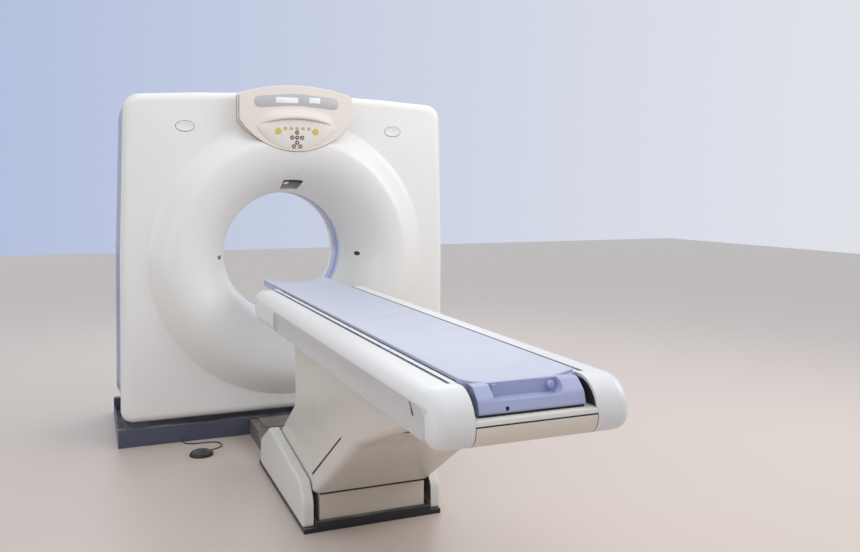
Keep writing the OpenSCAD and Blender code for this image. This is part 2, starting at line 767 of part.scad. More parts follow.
module drive_belt() {
    color("#1c1c1e") at_isocentre() translate([0, 0, -disc_y - (disc_t + belt_w) / 2])
        linear_extrude(belt_w) difference() {
            polygon(belt_line(belt_clear + belt_t));
            polygon(belt_line(belt_clear));
        }
}

// Rotor
module rotor_disc() {
    color("silver") at_isocentre() difference() {
        ring(disc_r, disc_bore_r, disc_back, -disc_y);
        for (i = [0:7]) rotate([0, 0, 22.5 + 45 * i])
            translate([(disc_r + bearing_in_r) / 2 + 40, 0, disc_back - lap])
                cylinder(r = disc_hole_r, h = disc_t + 2 * lap);
    }
}
tube_back = -disc_y;
module xray_tube() {
    color("lightsteelblue") at_isocentre() translate([0, focus_r, tube_back]) {
        cylinder(r = tube_r - 12, h = 14);
        translate([0, 0, 14]) cylinder(r = tube_r, h = tube_l - 54);
        translate([0, 0, tube_l - 40]) cylinder(r1 = tube_r, r2 = tube_r - 30, h = 40);
        for (s = [-1, 1]) rotate([0, 0, 90 + s * 52]) translate([tube_r - 6, 0, 62])
            rotate([0, 90, 0]) cylinder(r = 24, h = 26);
    }
}
port_w = 30;
module collimator() {
    color("dimgray") at_isocentre() difference() {
        block(-105, 105, disc_bore_r - 6, focus_r - tube_r - 0.3, -disc_y, detector_w / 2 + 10);
        block(-75, 75, disc_bore_r - 20, focus_r, -port_w / 2, port_w / 2);
    }
}
tank_in = 470;
tank_out = 645;
module generator_tanks() {
    color("cadetblue") at_isocentre() both_sides() {
        block(tank_in, tank_out, -130, 130, -disc_y, 130);
        for (y = [-70, 70]) translate([(tank_in + tank_out) / 2, y, 130]) cylinder(r = 28, h = 26);
    }
}
module detector_arc() {
    color("slategray") at_isocentre() translate([0, focus_r, -disc_y])
        rotate([0, 0, -90 - fan_angle / 2]) rotate_extrude(angle = fan_angle, $fn = 96)
            translate([detector_r, 0]) square([detector_t, detector_w]);
}
module data_unit() {
    color("seagreen") at_isocentre() {
        block(-190, 190, focus_r - detector_r - detector_t - 110, focus_r - detector_r - detector_t - 0.3,
            -disc_y, detector_w);
        for (i = [-4:4]) block(i * 40 - 2, i * 40 + 2, focus_r - detector_r - detector_t - 100,
            focus_r - detector_r - detector_t - 20, detector_w, detector_w + 18);
    }
}

// Table base, lift and pedestal
plate_low = 20;
plate_top = 40;
column_out = column_half + column_gap + column_wall;
tanchor_y = -1350;
module square_tube(half, wall, z0, z1) {
    translate([0, column_y, 0]) difference() {
        block(-half, half, -half, half, z0, z1);
        block(-half + wall, half - wall, -half + wall, half - wall, z0 - lap, z1 + lap);
    }
}
module table_base() {
    color("darkslategray") {
        difference() {
            union() {
                block(-tbase_half, tbase_half, tbase_front_y, tbase_back_y, 0, plate_low);
                block(-wing_in + 4, wing_in - 4, tbase_front_y, tbase_back_y, 0, plate_top);
            }
            translate([0, tanchor_y, 0]) corner_holes(tanchor_dx, tanchor_dy, 7, plate_top + 2 * lap);
        }
        square_tube(column_out, column_wall, plate_top, column_top);
        for (s = [-1, 1]) scale([s, 1, 1]) translate([column_out, column_y - 6, plate_top])
            rotate([90, 0, 0]) mirror([0, 0, 1]) linear_extrude(12) polygon([[0, 0], [90, 0], [0, 170]]);
    }
}
wing_low = plate_low + 0.3;
wing_front_y = tbase_front_y + 10;
wing_back_y = tbase_back_y - 50;
wing_shape = function (d) rounded([[wing_front_y, wing_low, 14, 3], [wing_back_y, wing_low, 14, 3],
    [wing_back_y + 2, 140, 50, 3], [wing_back_y - 200, 246, 90, 4],
    [wing_front_y + 61, 186, 60, 4], [wing_front_y, 120, 60, 4]], d);
wing_edge_r = 13;
wing_wall = 5;
module base_wings() {
    color("gainsboro") both_sides() sideways() cup(wing_shape, wing_in, wing_out, wing_edge_r, wing_wall);
}
panel_top = 147;
panel_t = 5;
panel_y = pedestal_foot_y + 16;
panel_half = pedestal_half - pedestal_edge_r + 4;
module base_front_panel() {
    color("lightgray") {
        block(-panel_half, panel_half, panel_y, panel_y + panel_t, plate_top, panel_top);
        block(-panel_half, panel_half, panel_y, panel_y + 40, panel_top - panel_t, panel_top);
        for (s = [-1, 1]) scale([s, 1, 1])
            block(panel_half - panel_t, panel_half, panel_y, panel_y + 60, plate_top, panel_top);
    }
}
jack_r = 36;
module lift_cylinder() {
    color("silver") translate([0, column_y, plate_top]) difference() {
        cylinder(r = jack_r, h = column_top - plate_top - 20);
        translate([0, 0, 14]) cylinder(r = ram_r + ram_clear, h = column_top);
    }
}
deck_low = table_bottom + 48;
deck_top = deck_low + 28;
module lift_ram() {
    color("lightgray") translate([0, column_y, column_top - 160]) cylinder(r = ram_r,
        h = deck_low - column_top + 160);
}
module floor_duct() {
    color("dimgray") {
        sideways() translate([0, 0, -duct_half]) linear_extrude(2 * duct_half) polygon([
            [-half_depth - 0.3, 0], [-half_depth - 0.3, duct_h], [-620, duct_h], [-660, duct_h - 34],
            [tbase_back_y + 0.3, duct_h - 34], [tbase_back_y + 0.3, 0]]);
        block(-duct_half + 40, duct_half - 40, -600, -half_depth - 20, duct_h, duct_h + 10);
    }
}
lift_ratio = 0.5;
knee = [-2340, 485];
slope_run = (pedestal_foot_y - knee[0]) / (knee[1] - pedestal_low);
pedestal_shape = function (d) rounded([
    [pedestal_foot_y + (pedestal_low - 100) * slope_run, 100, 30, 2],
    [pedestal_back_y + 360, 100, 30, 2], [pedestal_back_y + 360, 190, 60, 3],
    [pedestal_back_y, waist_z, 60, 3], [pedestal_back_y, waist_z + 210, 70, 4],
    [pedestal_back_y + 120, table_bottom + 28, 60, 3],
    [pedestal_back_y + 120, table_bottom + 108, 30, 2],
    [table_foot_y + 160, table_bottom + 108, 30, 2], [table_foot_y + 350, table_bottom - 30, 60, 2],
    [knee[0], knee[1], 200, 3]], d);
skirt_top = table_bottom + 30;
skirt_end_top = deck_low - lift_down * lift_ratio - 4;
carrier_z = 560;
module pedestal_body(d) {
    r = pedestal_edge_r - d;
    rise = [for (i = [0:4]) let (a = 90 * i / 4)
        [pedestal_half - pedestal_edge_r + r * sin(a), d + r * (1 - cos(a))]];
    both_sides() sideways() loft(concat([[0, pedestal_shape(d)]],
        [for (p = rise) [p[0], pedestal_shape(p[1])]]));
}
slit_a = [-1766, 214];
slit_b = [-2170, 472];
module pedestal_cover() {
    color("lightgray") difference() {
        union() {
            difference() {
                pedestal_body(0);
                pedestal_body(pedestal_wall);
                block(-300, 300, -3100, -900, skirt_top, 900);
                block(-300, 300, -3100, -900, 0, pedestal_low);
                block(-pedestal_half + 14, pedestal_half - 14, -3100, -900, skirt_end_top, 900);
            }
            difference() {
                block(-pedestal_half + 3, pedestal_half - 3, column_y - 150, column_y + 130,
                    carrier_z, carrier_z + 10);
                translate([0, column_y, 0]) block(-column_half - column_gap, column_half + column_gap,
                    -column_half - column_gap, column_half + column_gap, carrier_z - lap,
                    carrier_z + 10 + lap);
            }
        }
        both_sides() sideways() translate([0, 0, pedestal_half - 2]) linear_extrude(10)
            polygon([slit_a, slit_a + [0, 5], slit_b + [0, 5], slit_b]);
    }
}

// Table body
table_shape = function (d) rounded([[table_foot_y, table_bottom, nose_low_r, 8],
    [table_head_y, table_bottom, 60, 5], [table_head_y, table_top, 46, 5],
    [table_foot_y, table_top, nose_top_r, 10]], d);
beam_in = 178;
beam_out = 192;
beam_top = table_top - 3;
ledge_in = 161;
ledge_top = 800;
cap_y = table_foot_y + cap_l;
module table_chassis() {
    color("gray") {
        both_sides() difference() {
            block(beam_in, beam_out, cap_y + 6, table_head_y - 20, deck_low, beam_top);
            block(beam_in + 6, beam_out + lap, cap_y, table_head_y, deck_low + 6, beam_top - 6);
        }
        both_sides() block(ledge_in, beam_in + lap, cap_y + 6, table_head_y - 20, ledge_top - 6, ledge_top);
        block(-beam_out, beam_out, column_y - 100, column_y + 100, deck_low, deck_top);
        block(-beam_out, beam_out, table_head_y - 30, table_head_y - 20, deck_low, deck_top);
        square_tube(column_half, column_wall, column_top - 150, deck_low);
        for (y = [-900, -1450, -2000, -2500, -2990]) both_sides()
            block(beam_out - lap, table_open_half + 20, y - 20, y + 20, beam_top - 12,
                table_top - table_wall);
    }
}
recess = [[-2880, 730], [-1262, 730], [-1262, 799], [-2880, 799]];
module table_cover() {
    sideways() difference() {
        union() {
            cup(table_shape, table_open_half, table_half, table_edge_r, table_wall);
            translate([0, 0, foot_open_half]) linear_extrude(table_half - table_edge_r - foot_open_half)
                intersection() {
                    polygon(table_shape(0));
                    translate([table_foot_y, table_bottom]) square([cap_l, table_top - table_bottom]);
                }
        }
        translate([0, 0, table_half - 3]) linear_extrude(10) polygon(rounded([
            for (p = recess) [p[0], p[1], 14, 3]]));
        translate([-2960, table_bottom - lap, 0]) cube([1680, table_wall + 2 * lap, pedestal_half + 6]);
        translate([-2842, 750, table_half - 4]) linear_extrude(10) polygon(rounded([
            [-4, -16, 3, 3], [4, -16, 3, 3], [4, 16, 3, 3], [-4, 16, 3, 3]]));
    }
}
module table_cover_right() { color("ghostwhite") table_cover(); }
module table_cover_left() { color("ghostwhite") mirror([1, 0, 0]) table_cover(); }
module cover_strips() {
    color("silver") both_sides()
        block(beam_in, beam_in + strip_w, cap_y + 2, table_head_y - 2, beam_top, table_top);
}
side_gap = 0.3;
lip_low = 756;
handle_low = deck_top + 2;
lip_top = handle_low - 1;
module foot_lip() {
    color("antiquewhite") sideways() translate([0, 0, -foot_open_half + side_gap])
        linear_extrude(2 * (foot_open_half - side_gap)) difference() {
            intersection() {
                polygon(table_shape(0));
                translate([table_foot_y, lip_low]) square([cap_l, lip_top - lip_low]);
            }
            translate([table_foot_y + 12, lip_low - lap]) square([60, 8]);
        }
}
belly_y = -2830;
panel_wall = 5;
module foot_panel() {
    color("lightgray") sideways() translate([0, 0, -foot_open_half + side_gap])
        linear_extrude(2 * (foot_open_half - side_gap)) intersection() {
            difference() {
                polygon(table_shape(0));
                polygon(table_shape(panel_wall));
            }
            translate([table_foot_y, table_bottom]) square([belly_y - table_foot_y,
                lip_low - 2 - table_bottom]);
        }
}

// Cradle
pan_n = 12;
function dip(x, half) = cradle_dip * (1 - pow(x / half, 2));
pan_rim = 2;
pan_bottom = cradle_top - cradle_t;
function pan_top(off) = [for (i = [0:pan_n]) let (x = (cradle_half - pan_rim) * (1 - 2 * i / pan_n))
    [x, cradle_top + off - dip(x, cradle_half - pan_rim)]];
module plan(x_half, y0, y1, r) {
    polygon(rounded([[-x_half, y0, 4, 2], [x_half, y0, 4, 2], [x_half, y1, r, 5], [-x_half, y1, r, 5]]));
}
module cradle() {
    color("lightsteelblue") {
        intersection() {
            translate([0, cradle_tip_y + lap, 0]) rotate([90, 0, 0]) linear_extrude(3000)
                polygon(concat([[cradle_half, pan_bottom + 14], [cradle_half, cradle_top]], pan_top(0),
                    [[-cradle_half, cradle_top], [-cradle_half, pan_bottom + 14],
                     [-cradle_half + 26, pan_bottom], [cradle_half - 26, pan_bottom]]));
            translate([0, 0, pan_bottom - 50]) linear_extrude(200)
                plan(cradle_half, cradle_end_y, cradle_tip_y, 36);
        }
        both_sides() block(ledge_in + 1, ledge_in + 10, cradle_end_y + 40, -900,
            ledge_top + side_gap, pan_bottom + 20);
    }
}
mat_half = cradle_half - 1;
module cradle_mat() {
    color("lavender") intersection() {
        translate([0, cradle_tip_y, 0]) rotate([90, 0, 0]) linear_extrude(3000)
            polygon(concat(pan_top(side_gap), reversed(pan_top(side_gap + mat_t))));
        translate([0, 0, pan_bottom]) linear_extrude(200)
            plan(mat_half, cradle_end_y + 12, cradle_tip_y - 14, 30);
    }
}
handle_shape = [[cradle_end_y - 76, handle_low, 8, 3], [cradle_end_y, handle_low, 2, 1],
    [cradle_end_y, cradle_top - 4, 2, 1], [cradle_end_y - 32, cradle_top - 6, 16, 3],
    [cradle_end_y - 65, cradle_top - 36, 30, 4]];
grip = [-110, 110];
grip_low = 806;
grip_top = cradle_top + 10;
knob_x = 77;
knob_z = 826;
knob_y = cradle_end_y - 34;
knob_clear = 0.05;
module handle_block() {
    color("lightsteelblue") difference() {
        sideways() translate([0, 0, -handle_half]) linear_extrude(2 * handle_half)
            polygon(rounded(handle_shape));
        block(grip[0], grip[1], cradle_end_y - 120, cradle_end_y - 14, grip_low, grip_top);
        translate([knob_x, cradle_end_y - 20, knob_z]) rotate([-90, 0, 0])
            cylinder(r = 4 + knob_clear, h = 16);
        translate([-76, cradle_end_y - 120, 786]) rotate([-90, 0, 0]) cylinder(r = 6, h = 60);
    }
}
module release_knob() {
    color("lightsteelblue") translate([knob_x, knob_y, knob_z]) rotate([-90, 0, 0]) {
        cylinder(r = knob_r, h = 14);
        translate([0, 0, 13]) cylinder(r = 4, h = 16);
        translate([-2, -knob_r - 1.5, 0]) cube([4, 6, 10]);
    }
}

// Foot switch on the floor, with its cord from under the front rail
switch_c = [-537, -655];
rim_in = switch_r - 6;
module switch_base() {
    color("#242426") translate([switch_c[0], switch_c[1], 0]) difference() {
        cylinder(r1 = switch_r, r2 = switch_r - 3, h = switch_base_h);
        translate([0, 0, 3]) cylinder(r = rim_in, h = switch_base_h);
    }
}
dome_n = 8;
module switch_pedal() {
    color("#1a1a1c") translate([switch_c[0], switch_c[1], 3 + pedal_travel + 1])
        rotate_extrude($fn = 64) polygon(concat([[0, 0], [rim_in - side_gap, 0]],
            [for (i = [0:dome_n]) let (a = 90 * i / dome_n)
                [(rim_in - side_gap) * cos(a),
                 switch_base_h - pedal_travel - 4 + pedal_h * sin(a)]]));
}
cord_z = cord_d / 2 + 0.1;
cord_path = [[-604, -390.3, 14], [-604, -402, 13], [-602, -414, 9], [-597, -426, 4.6], [-588, -437, cord_z],
    [-574, -446, cord_z], [-556, -452, cord_z], [-536, -455, cord_z], [-514, -456, cord_z],
    [-492, -456, cord_z], [-470, -458, cord_z], [-450, -463, cord_z], [-434, -473, cord_z],
    [-423, -488, cord_z], [-417, -506, cord_z], [-416, -525, cord_z], [-419, -543, cord_z],
    [-427, -559, cord_z], [-439, -572, cord_z], [-453, -582, cord_z], [-468, -591, cord_z],
    [-482, -600.5, 3.4], [-495.1, -611.8, 4]];
cord_sides = 8;
function along(p, i) = unit(p[min(i + 1, len(p) - 1)] - p[max(i - 1, 0)]);
module swept_cord(path, d, sides) {
    n = len(path);
    points = [for (i = [0:n - 1]) let (t = along(path, i), u = unit(cross([0, 0, 1], t)), w = cross(t, u))
        each [for (k = [0:sides - 1]) let (a = 360 * k / sides)
            path[i] + d / 2 * (cos(a) * u + sin(a) * w)]];
    polyhedron(points, concat([[for (k = [0:sides - 1]) k]],
        [for (i = [0:n - 2], k = [0:sides - 1]) let (m = (k + 1) % sides)
            each [[i * sides + k, (i + 1) * sides + k, i * sides + m],
                  [i * sides + m, (i + 1) * sides + k, (i + 1) * sides + m]]],
        [[for (k = [sides - 1:-1:0]) (n - 1) * sides + k]]), convexity = 10);
}
module switch_cord() { color("#161618") swept_cord(cord_path, cord_d, cord_sides); }

gantry_base();
stanchions();
trunnion_bearings();
tilt_gearmotor();
tilt_frame();
trunnion_pins();
bearing_outer_ring();
drive_motor();
drive_belt();
brush_block();
front_cover();
rear_cover();
side_covers();
top_cover();
bore_liner();
scan_window();
light_windows();
cover_caps();
console_housing();
display_strip();
keypad_panel();
indicator_lamps();
landmark_button(-1);  // landmark_button_left
landmark_button(1);  // landmark_button_right
key(0);  // key_up
key(1);  // key_left
key(2);  // key_home
key(3);  // key_right
key(4);  // key_down
key(5);  // key_in
key(6);  // key_out
rotor_disc();
bearing_inner_ring();
xray_tube();
collimator();
generator_tanks();
detector_arc();
data_unit();
slip_ring();
motor_pulley();
table_base();
base_wings();
base_front_panel();
lift_cylinder();
floor_duct();
pedestal_cover();
table_chassis();
lift_ram();
table_cover_left();
table_cover_right();
cover_strips();
foot_lip();
foot_panel();
cradle();
cradle_mat();
handle_block();
release_knob();
switch_base();
switch_pedal();
switch_cord();
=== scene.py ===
import math

import bmesh
import bpy
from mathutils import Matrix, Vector


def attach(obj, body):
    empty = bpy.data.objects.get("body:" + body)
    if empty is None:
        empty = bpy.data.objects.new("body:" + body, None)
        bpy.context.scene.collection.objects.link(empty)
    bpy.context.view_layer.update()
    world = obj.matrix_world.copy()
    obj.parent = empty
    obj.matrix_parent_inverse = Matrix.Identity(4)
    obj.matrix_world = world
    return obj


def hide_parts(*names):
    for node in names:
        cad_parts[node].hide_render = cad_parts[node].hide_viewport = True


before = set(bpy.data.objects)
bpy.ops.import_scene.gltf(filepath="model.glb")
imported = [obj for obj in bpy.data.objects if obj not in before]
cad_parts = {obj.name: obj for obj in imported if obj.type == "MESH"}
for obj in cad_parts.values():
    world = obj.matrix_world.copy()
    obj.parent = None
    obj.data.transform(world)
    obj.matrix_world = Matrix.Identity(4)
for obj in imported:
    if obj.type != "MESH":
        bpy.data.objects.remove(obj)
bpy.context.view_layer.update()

# Camera where the photograph was taken, at a standing eye's height, with the lens shifted down.
camera = bpy.data.objects.new("camera", bpy.data.cameras.new("camera"))
bpy.context.scene.collection.objects.link(camera)
camera.location = (-1.075, -5.011, 1.348)
camera.rotation_euler = (math.radians(90), 0, math.radians(-22.4))
camera.data.lens = 34.83
camera.data.shift_y = -0.1
bpy.context.scene.camera = camera
bpy.context.scene.view_settings.view_transform = "Standard"

# Plain pale floor, a backdrop that pales towards the right, and the even light of a white ceiling
# with weaker panels behind, at the right and at the left.
FLOOR_HALF = 14000


def tint(code):
    """Colour of a hex code, in the linear values that a shader takes."""
    parts = [int(code[i:i + 2], 16) / 255 for i in (0, 2, 4)]
    return [p / 12.92 if p < 0.04045 else ((p + 0.055) / 1.055) ** 2.4 for p in parts] + [1]


def feed(tree, made, values):
    """Inputs of a node: a value that is a socket is linked, and any other is set."""
    for key, value in values.items():
        if isinstance(value, bpy.types.NodeSocket):
            tree.links.new(value, made.inputs[key])
        else:
            made.inputs[key].default_value = value


def wire(tree, kind, values=None, **settings):
    made = tree.nodes.new("ShaderNode" + kind)
    for key, value in settings.items():
        setattr(made, key, value)
    feed(tree, made, values or {})
    return made


def mixed(tree, share, first, second):
    return wire(tree, "Mix", {0: share, 6: first, 7: second}, data_type="RGBA").outputs[2]


def between(tree, value, low, high, to_low=0.0, to_high=1.0):
    return wire(tree, "MapRange", {"Value": value, "From Min": low, "From Max": high,
                                   "To Min": to_low, "To Max": to_high}).outputs[0]


def shell(verts, faces, name, finish=None):
    """Mesh object from millimetres, smooth except across real edges."""
    mesh = bpy.data.meshes.new(name)
    mesh.from_pydata([Vector(v) / 1000 for v in verts], [], faces)
    mesh.validate()
    form = bmesh.new()
    form.from_mesh(mesh)
    bmesh.ops.recalc_face_normals(form, faces=form.faces)
    form.to_mesh(mesh)
    form.free()
    mesh.shade_smooth()
    mesh.set_sharp_from_angle(angle=math.radians(32))
    made = bpy.data.objects.new(name, mesh)
    bpy.context.scene.collection.objects.link(made)
    if finish:
        mesh.materials.append(finish)
    return made


def surface(name):
    """A new material, its node tree and its shader."""
    made = bpy.data.materials.new(name)
    made.use_nodes = True
    return made, made.node_tree, made.node_tree.nodes["Principled BSDF"]


floor_finish, _, floor_shader = surface("floor")
floor_shader.inputs["Base Color"].default_value = tint("ccbeb4")
floor_shader.inputs["Roughness"].default_value = 0.32
floor = shell([(-FLOOR_HALF, -FLOOR_HALF, 0), (FLOOR_HALF, -FLOOR_HALF, 0),
               (FLOOR_HALF, FLOOR_HALF, 0), (-FLOOR_HALF, FLOOR_HALF, 0)],
              [(0, 1, 2, 3)], "floor", floor_finish)

world = bpy.data.worlds.new("room")
bpy.context.scene.world = world
world.use_nodes = True
sky = world.node_tree.nodes["Background"]
seen = wire(world.node_tree, "LightPath").outputs["Is Camera Ray"]
heading = wire(world.node_tree, "TexCoord").outputs["Generated"]
aside = wire(world.node_tree, "SeparateXYZ", {0: heading}).outputs[0]
backdrop = mixed(world.node_tree, between(world.node_tree, aside, -0.1, 0.75), tint("b4c0de"),
                 tint("e0e2ea"))
world.node_tree.links.new(mixed(world.node_tree, seen, (0.89, 0.93, 1.0, 1), backdrop),
                          sky.inputs[0])
world.node_tree.links.new(between(world.node_tree, seen, 0, 1, 0.8, 1.0), sky.inputs[1])


def panel_light(name, place, target, width, depth, power, colour):
    lamp = bpy.data.lights.new(name, "AREA")
    lamp.shape, lamp.size, lamp.size_y = "RECTANGLE", width, depth
    lamp.energy, lamp.color = power, colour
    made = bpy.data.objects.new(name, lamp)
    made.location = place
    made.rotation_euler = (Vector(target) - Vector(place)).to_track_quat("-Z", "Y").to_euler()
    bpy.context.scene.collection.objects.link(made)


panel_light("ceiling", (0.5, -1.5, 3.4), (0.2, -1.2, 0), 5.5, 4.5, 50, (1, 0.985, 0.965))
panel_light("ceiling_back", (0.5, 2.6, 3.2), (0, 0, 0.8), 4.0, 2.0, 40, (0.85, 0.92, 1))
panel_light("ceiling_right", (3.6, -3.0, 2.9), (0.6, -0.4, 1.4), 2.6, 2.0, 56, (1, 0.985, 0.965))
panel_light("window_left", (-4.4, -3.8, 1.7), (-0.4, -0.4, 0.7), 2.6, 2.2, 24, (1, 0.99, 0.97))

# Finishes shared by the mouldings: fine grain, faint clouding of the colour, uneven gloss, dust
# that settles on what faces up, and paint or plastic rubbed paler at the edges.


def effect(name, inputs, outputs):
    """A shader node group with named sockets; returns its tree and what it is given."""
    tree = bpy.data.node_groups.new(name, "ShaderNodeTree")
    for way, sockets in (("INPUT", inputs), ("OUTPUT", outputs)):
        for label, kind in sockets:
            tree.interface.new_socket(label, in_out=way, socket_type="NodeSocket" + kind)
    return tree, tree.nodes.new("NodeGroupInput").outputs


def send(tree, **links):
    out = tree.nodes.new("NodeGroupOutput").inputs
    for label, socket in links.items():
        tree.links.new(socket, out[label])


def times(tree, first, second, operation="MULTIPLY"):
    return wire(tree, "Math", {0: first, 1: second}, operation=operation).outputs[0]


moulding, given = effect(
    "moulding", [("Colour", "Color"), ("Cloud", "Float"), ("Grain", "Float"), ("Rough", "Float")],
    [("Colour", "Color"), ("Rough", "Float"), ("Height", "Float")])
place = wire(moulding, "TexCoord").outputs["Object"]
cloud = wire(moulding, "TexNoise", {"Vector": place, "Scale": 2.6, "Detail": 3.0}).outputs[0]
smudge = wire(moulding, "TexNoise", {"Vector": place, "Scale": 11.0, "Detail": 5.0}).outputs[0]
grain = wire(moulding, "TexNoise", {"Vector": place, "Scale": given["Grain"],
                                    "Detail": 2.0}).outputs[0]
peel = wire(moulding, "TexNoise", {"Vector": place, "Scale": 75.0, "Detail": 1.0}).outputs[0]
lightness = wire(moulding, "Math", {0: times(moulding, cloud, 0.5, "SUBTRACT"),
                                    1: given["Cloud"], 2: 1.0}, operation="MULTIPLY_ADD")
shade = wire(moulding, "HueSaturation", {"Color": given["Colour"], "Value": lightness.outputs[0]})
gloss = wire(moulding, "Math", {0: times(moulding, smudge, 0.5, "SUBTRACT"), 1: 0.28,
                                2: given["Rough"]}, operation="MULTIPLY_ADD").outputs[0]
send(moulding, Colour=shade.outputs[0], Rough=gloss,
     Height=times(moulding, grain, times(moulding, peel, 0.6), "ADD"))

settled_dust, given = effect(
    "settled_dust", [("Colour", "Color"), ("Amount", "Float")],
    [("Colour", "Color"), ("Mask", "Float")])
coords = wire(settled_dust, "TexCoord").outputs
up = wire(settled_dust, "SeparateXYZ", {0: coords["Normal"]}).outputs[2]
patch = wire(settled_dust, "TexNoise", {"Vector": coords["Object"], "Scale": 6.0,
                                        "Detail": 6.0}).outputs[0]
dusty = times(settled_dust, times(settled_dust, between(settled_dust, up, 0.35, 1.0),
                                  between(settled_dust, patch, 0.35, 0.7)), given["Amount"])
send(settled_dust, Colour=mixed(settled_dust, dusty, given["Colour"], tint("cfc8bd")), Mask=dusty)

rubbed_edge, given = effect(
    "rubbed_edge", [("Colour", "Color"), ("Bare", "Color"), ("Amount", "Float")],
    [("Colour", "Color"), ("Mask", "Float")])
rounded_normal = wire(rubbed_edge, "Bevel", {"Radius": 0.003}, samples=4).outputs[0]
plain_normal = wire(rubbed_edge, "NewGeometry").outputs["Normal"]
facing = wire(rubbed_edge, "VectorMath", {0: rounded_normal, 1: plain_normal},
              operation="DOT_PRODUCT").outputs["Value"]
scratch = wire(rubbed_edge, "TexNoise", {"Vector": wire(rubbed_edge, "TexCoord").outputs["Object"],
                                         "Scale": 45.0, "Detail": 5.0}).outputs[0]
worn = times(rubbed_edge, times(rubbed_edge, between(rubbed_edge, facing, 0.99, 0.85),
                                between(rubbed_edge, scratch, 0.4, 0.6)), given["Amount"])
send(rubbed_edge, Colour=mixed(rubbed_edge, worn, given["Colour"], given["Bare"]), Mask=worn)


def placed(tree, group, **values):
    """A group placed in a material; its values come from sockets, colours or numbers."""
    return wire(tree, "Group", values, node_tree=group).outputs


def moulded(name, code, rough=0.38, cloud=0.06, grain=500, bump=0.06, dust=0.0, rub=0.0,
            bare="f4f2ee", coat=0.0, metal=0.0):
    """Moulded or painted finish of one colour, with the shared effects at this piece's values."""
    made, tree, shader = surface(name)
    base = placed(tree, moulding, Colour=tint(code), Cloud=cloud, Grain=grain, Rough=rough)
    edge = placed(tree, rubbed_edge, Colour=base["Colour"], Bare=tint(bare), Amount=rub)
    top = placed(tree, settled_dust, Colour=edge["Colour"], Amount=dust)
    relief = wire(tree, "Bump", {"Strength": bump, "Distance": 0.001, "Height": base["Height"]})
    feed(tree, shader, {"Base Color": top["Colour"], "Roughness": base["Rough"],
                        "Metallic": metal, "Coat Weight": coat, "Coat Roughness": 0.12,
                        "Normal": relief.outputs[0]})
    return made


# Outlines with rounded corners, lofted skins and turned shapes, from which the mouldings are made.


def corner(before, at, after, inset):
    a = (Vector(at[:2]) - Vector(before[:2])).normalized()
    b = (Vector(after[:2]) - Vector(at[:2])).normalized()
    n1, n2 = Vector((a.y, -a.x)), Vector((b.y, -b.x))
    side = -1 if a.cross(b) < 0 else 1
    turn = math.acos(max(-1, min(1, a.dot(b))))
    centre = Vector(at[:2]) - side * at[2] * (n1 + n2) / (1 + n1.dot(n2))
    start = math.atan2(n1.y, n1.x)
    steps = max(1, at[3])
    reach = side * (at[2] - side * inset)
    return [centre + reach * Vector((math.cos(start + side * turn * i / steps),
                                     math.sin(start + side * turn * i / steps)))
            for i in range(steps + 1)]


def rounded(corners, inset=0.0):
    n = len(corners)
    return [tuple(p) for i in range(n)
            for p in corner(corners[i - 1], corners[i], corners[(i + 1) % n], inset)]


def loft(rings, loop=False):
    """Faces through rings of equally many points; loop joins the last ring to the first."""
    n, m = len(rings[0]), len(rings)
    faces = []
    for k in range(m if loop else m - 1):
        for i in range(n):
            j, k2 = (i + 1) % n, (k + 1) % m
            faces.append((k * n + i, k * n + j, k2 * n + j, k2 * n + i))
    if not loop:
        faces += [tuple(range(n - 1, -1, -1)), tuple((m - 1) * n + i for i in range(n))]
    return [p for ring in rings for p in ring], faces


def quarter(steps=8):
    return [math.pi / 2 * i / steps for i in range(steps + 1)]


def rim(corners, start, end, radius, wall, steps=9):
    """Levels and outlines of a cup with its mouth at start, from its outer end to its inner one."""
    def edge(at, inset, r):
        return [(at + r * math.sin(a), rounded(corners, inset + r * (1 - math.cos(a))))
                for a in quarter(steps)]
    low = max(1.0, radius - wall)
    return (edge(end - radius, 0, radius)[::-1] + [(start, rounded(corners))]
            + [(start, rounded(corners, wall))] + edge(end - wall - low, wall, low))


def circle(x, z, r, n=48, up=None):
    """Points round a centre; an ellipse when its half height is given too."""
    up = r if up is None else up
    turn = [2 * math.pi * i / n for i in range(n)]
    return [(x + r * math.cos(a), z + up * math.sin(a)) for a in turn]


def turned(profile, steps, x=0, y=0):
    """Rings of a turned shape from (radius, height) pairs."""
    return [[(*p, h) for p in circle(x, y, r, steps)] for r, h in profile]


def stack(levels):
    """Rings from pairs of a level and an outline."""
    return [[(*p, at) for p in outline] for at, outline in levels]


def slab(outline, *levels):
    return stack((at, outline) for at in levels)


def box(x0, x1, y0, y1, z0, z1):
    return slab([(x0, y0), (x1, y0), (x1, y1), (x0, y1)], z0, z1)


def moved(rings, put):
    return [[put(*p) for p in ring] for ring in rings]


def fitted(name, rings, finish, body, *nodes, loop=False, slot=None):
    """A piece through rings, riding on a body and standing for CAD nodes."""
    made = shell(*loft(rings, loop), name, finish)
    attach(made, body)
    if nodes:
        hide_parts(*nodes)
    return made


def carved(piece, *cutters):
    """Cuts shapes of (verts, faces) out of a piece and keeps its finish."""
    for verts, faces in cutters:
        tool = shell(verts, faces, "cutter")
        cut = piece.modifiers.new("cut", "BOOLEAN")
        cut.operation, cut.solver, cut.object = "DIFFERENCE", "EXACT", tool
        bpy.context.view_layer.update()
        shape = bpy.data.meshes.new_from_object(
            piece.evaluated_get(bpy.context.evaluated_depsgraph_get()))
        piece.modifiers.clear()
        piece.data = shape
        bpy.data.objects.remove(tool)
    piece.data.shade_smooth()
    piece.data.set_sharp_from_angle(angle=math.radians(32))
    return piece


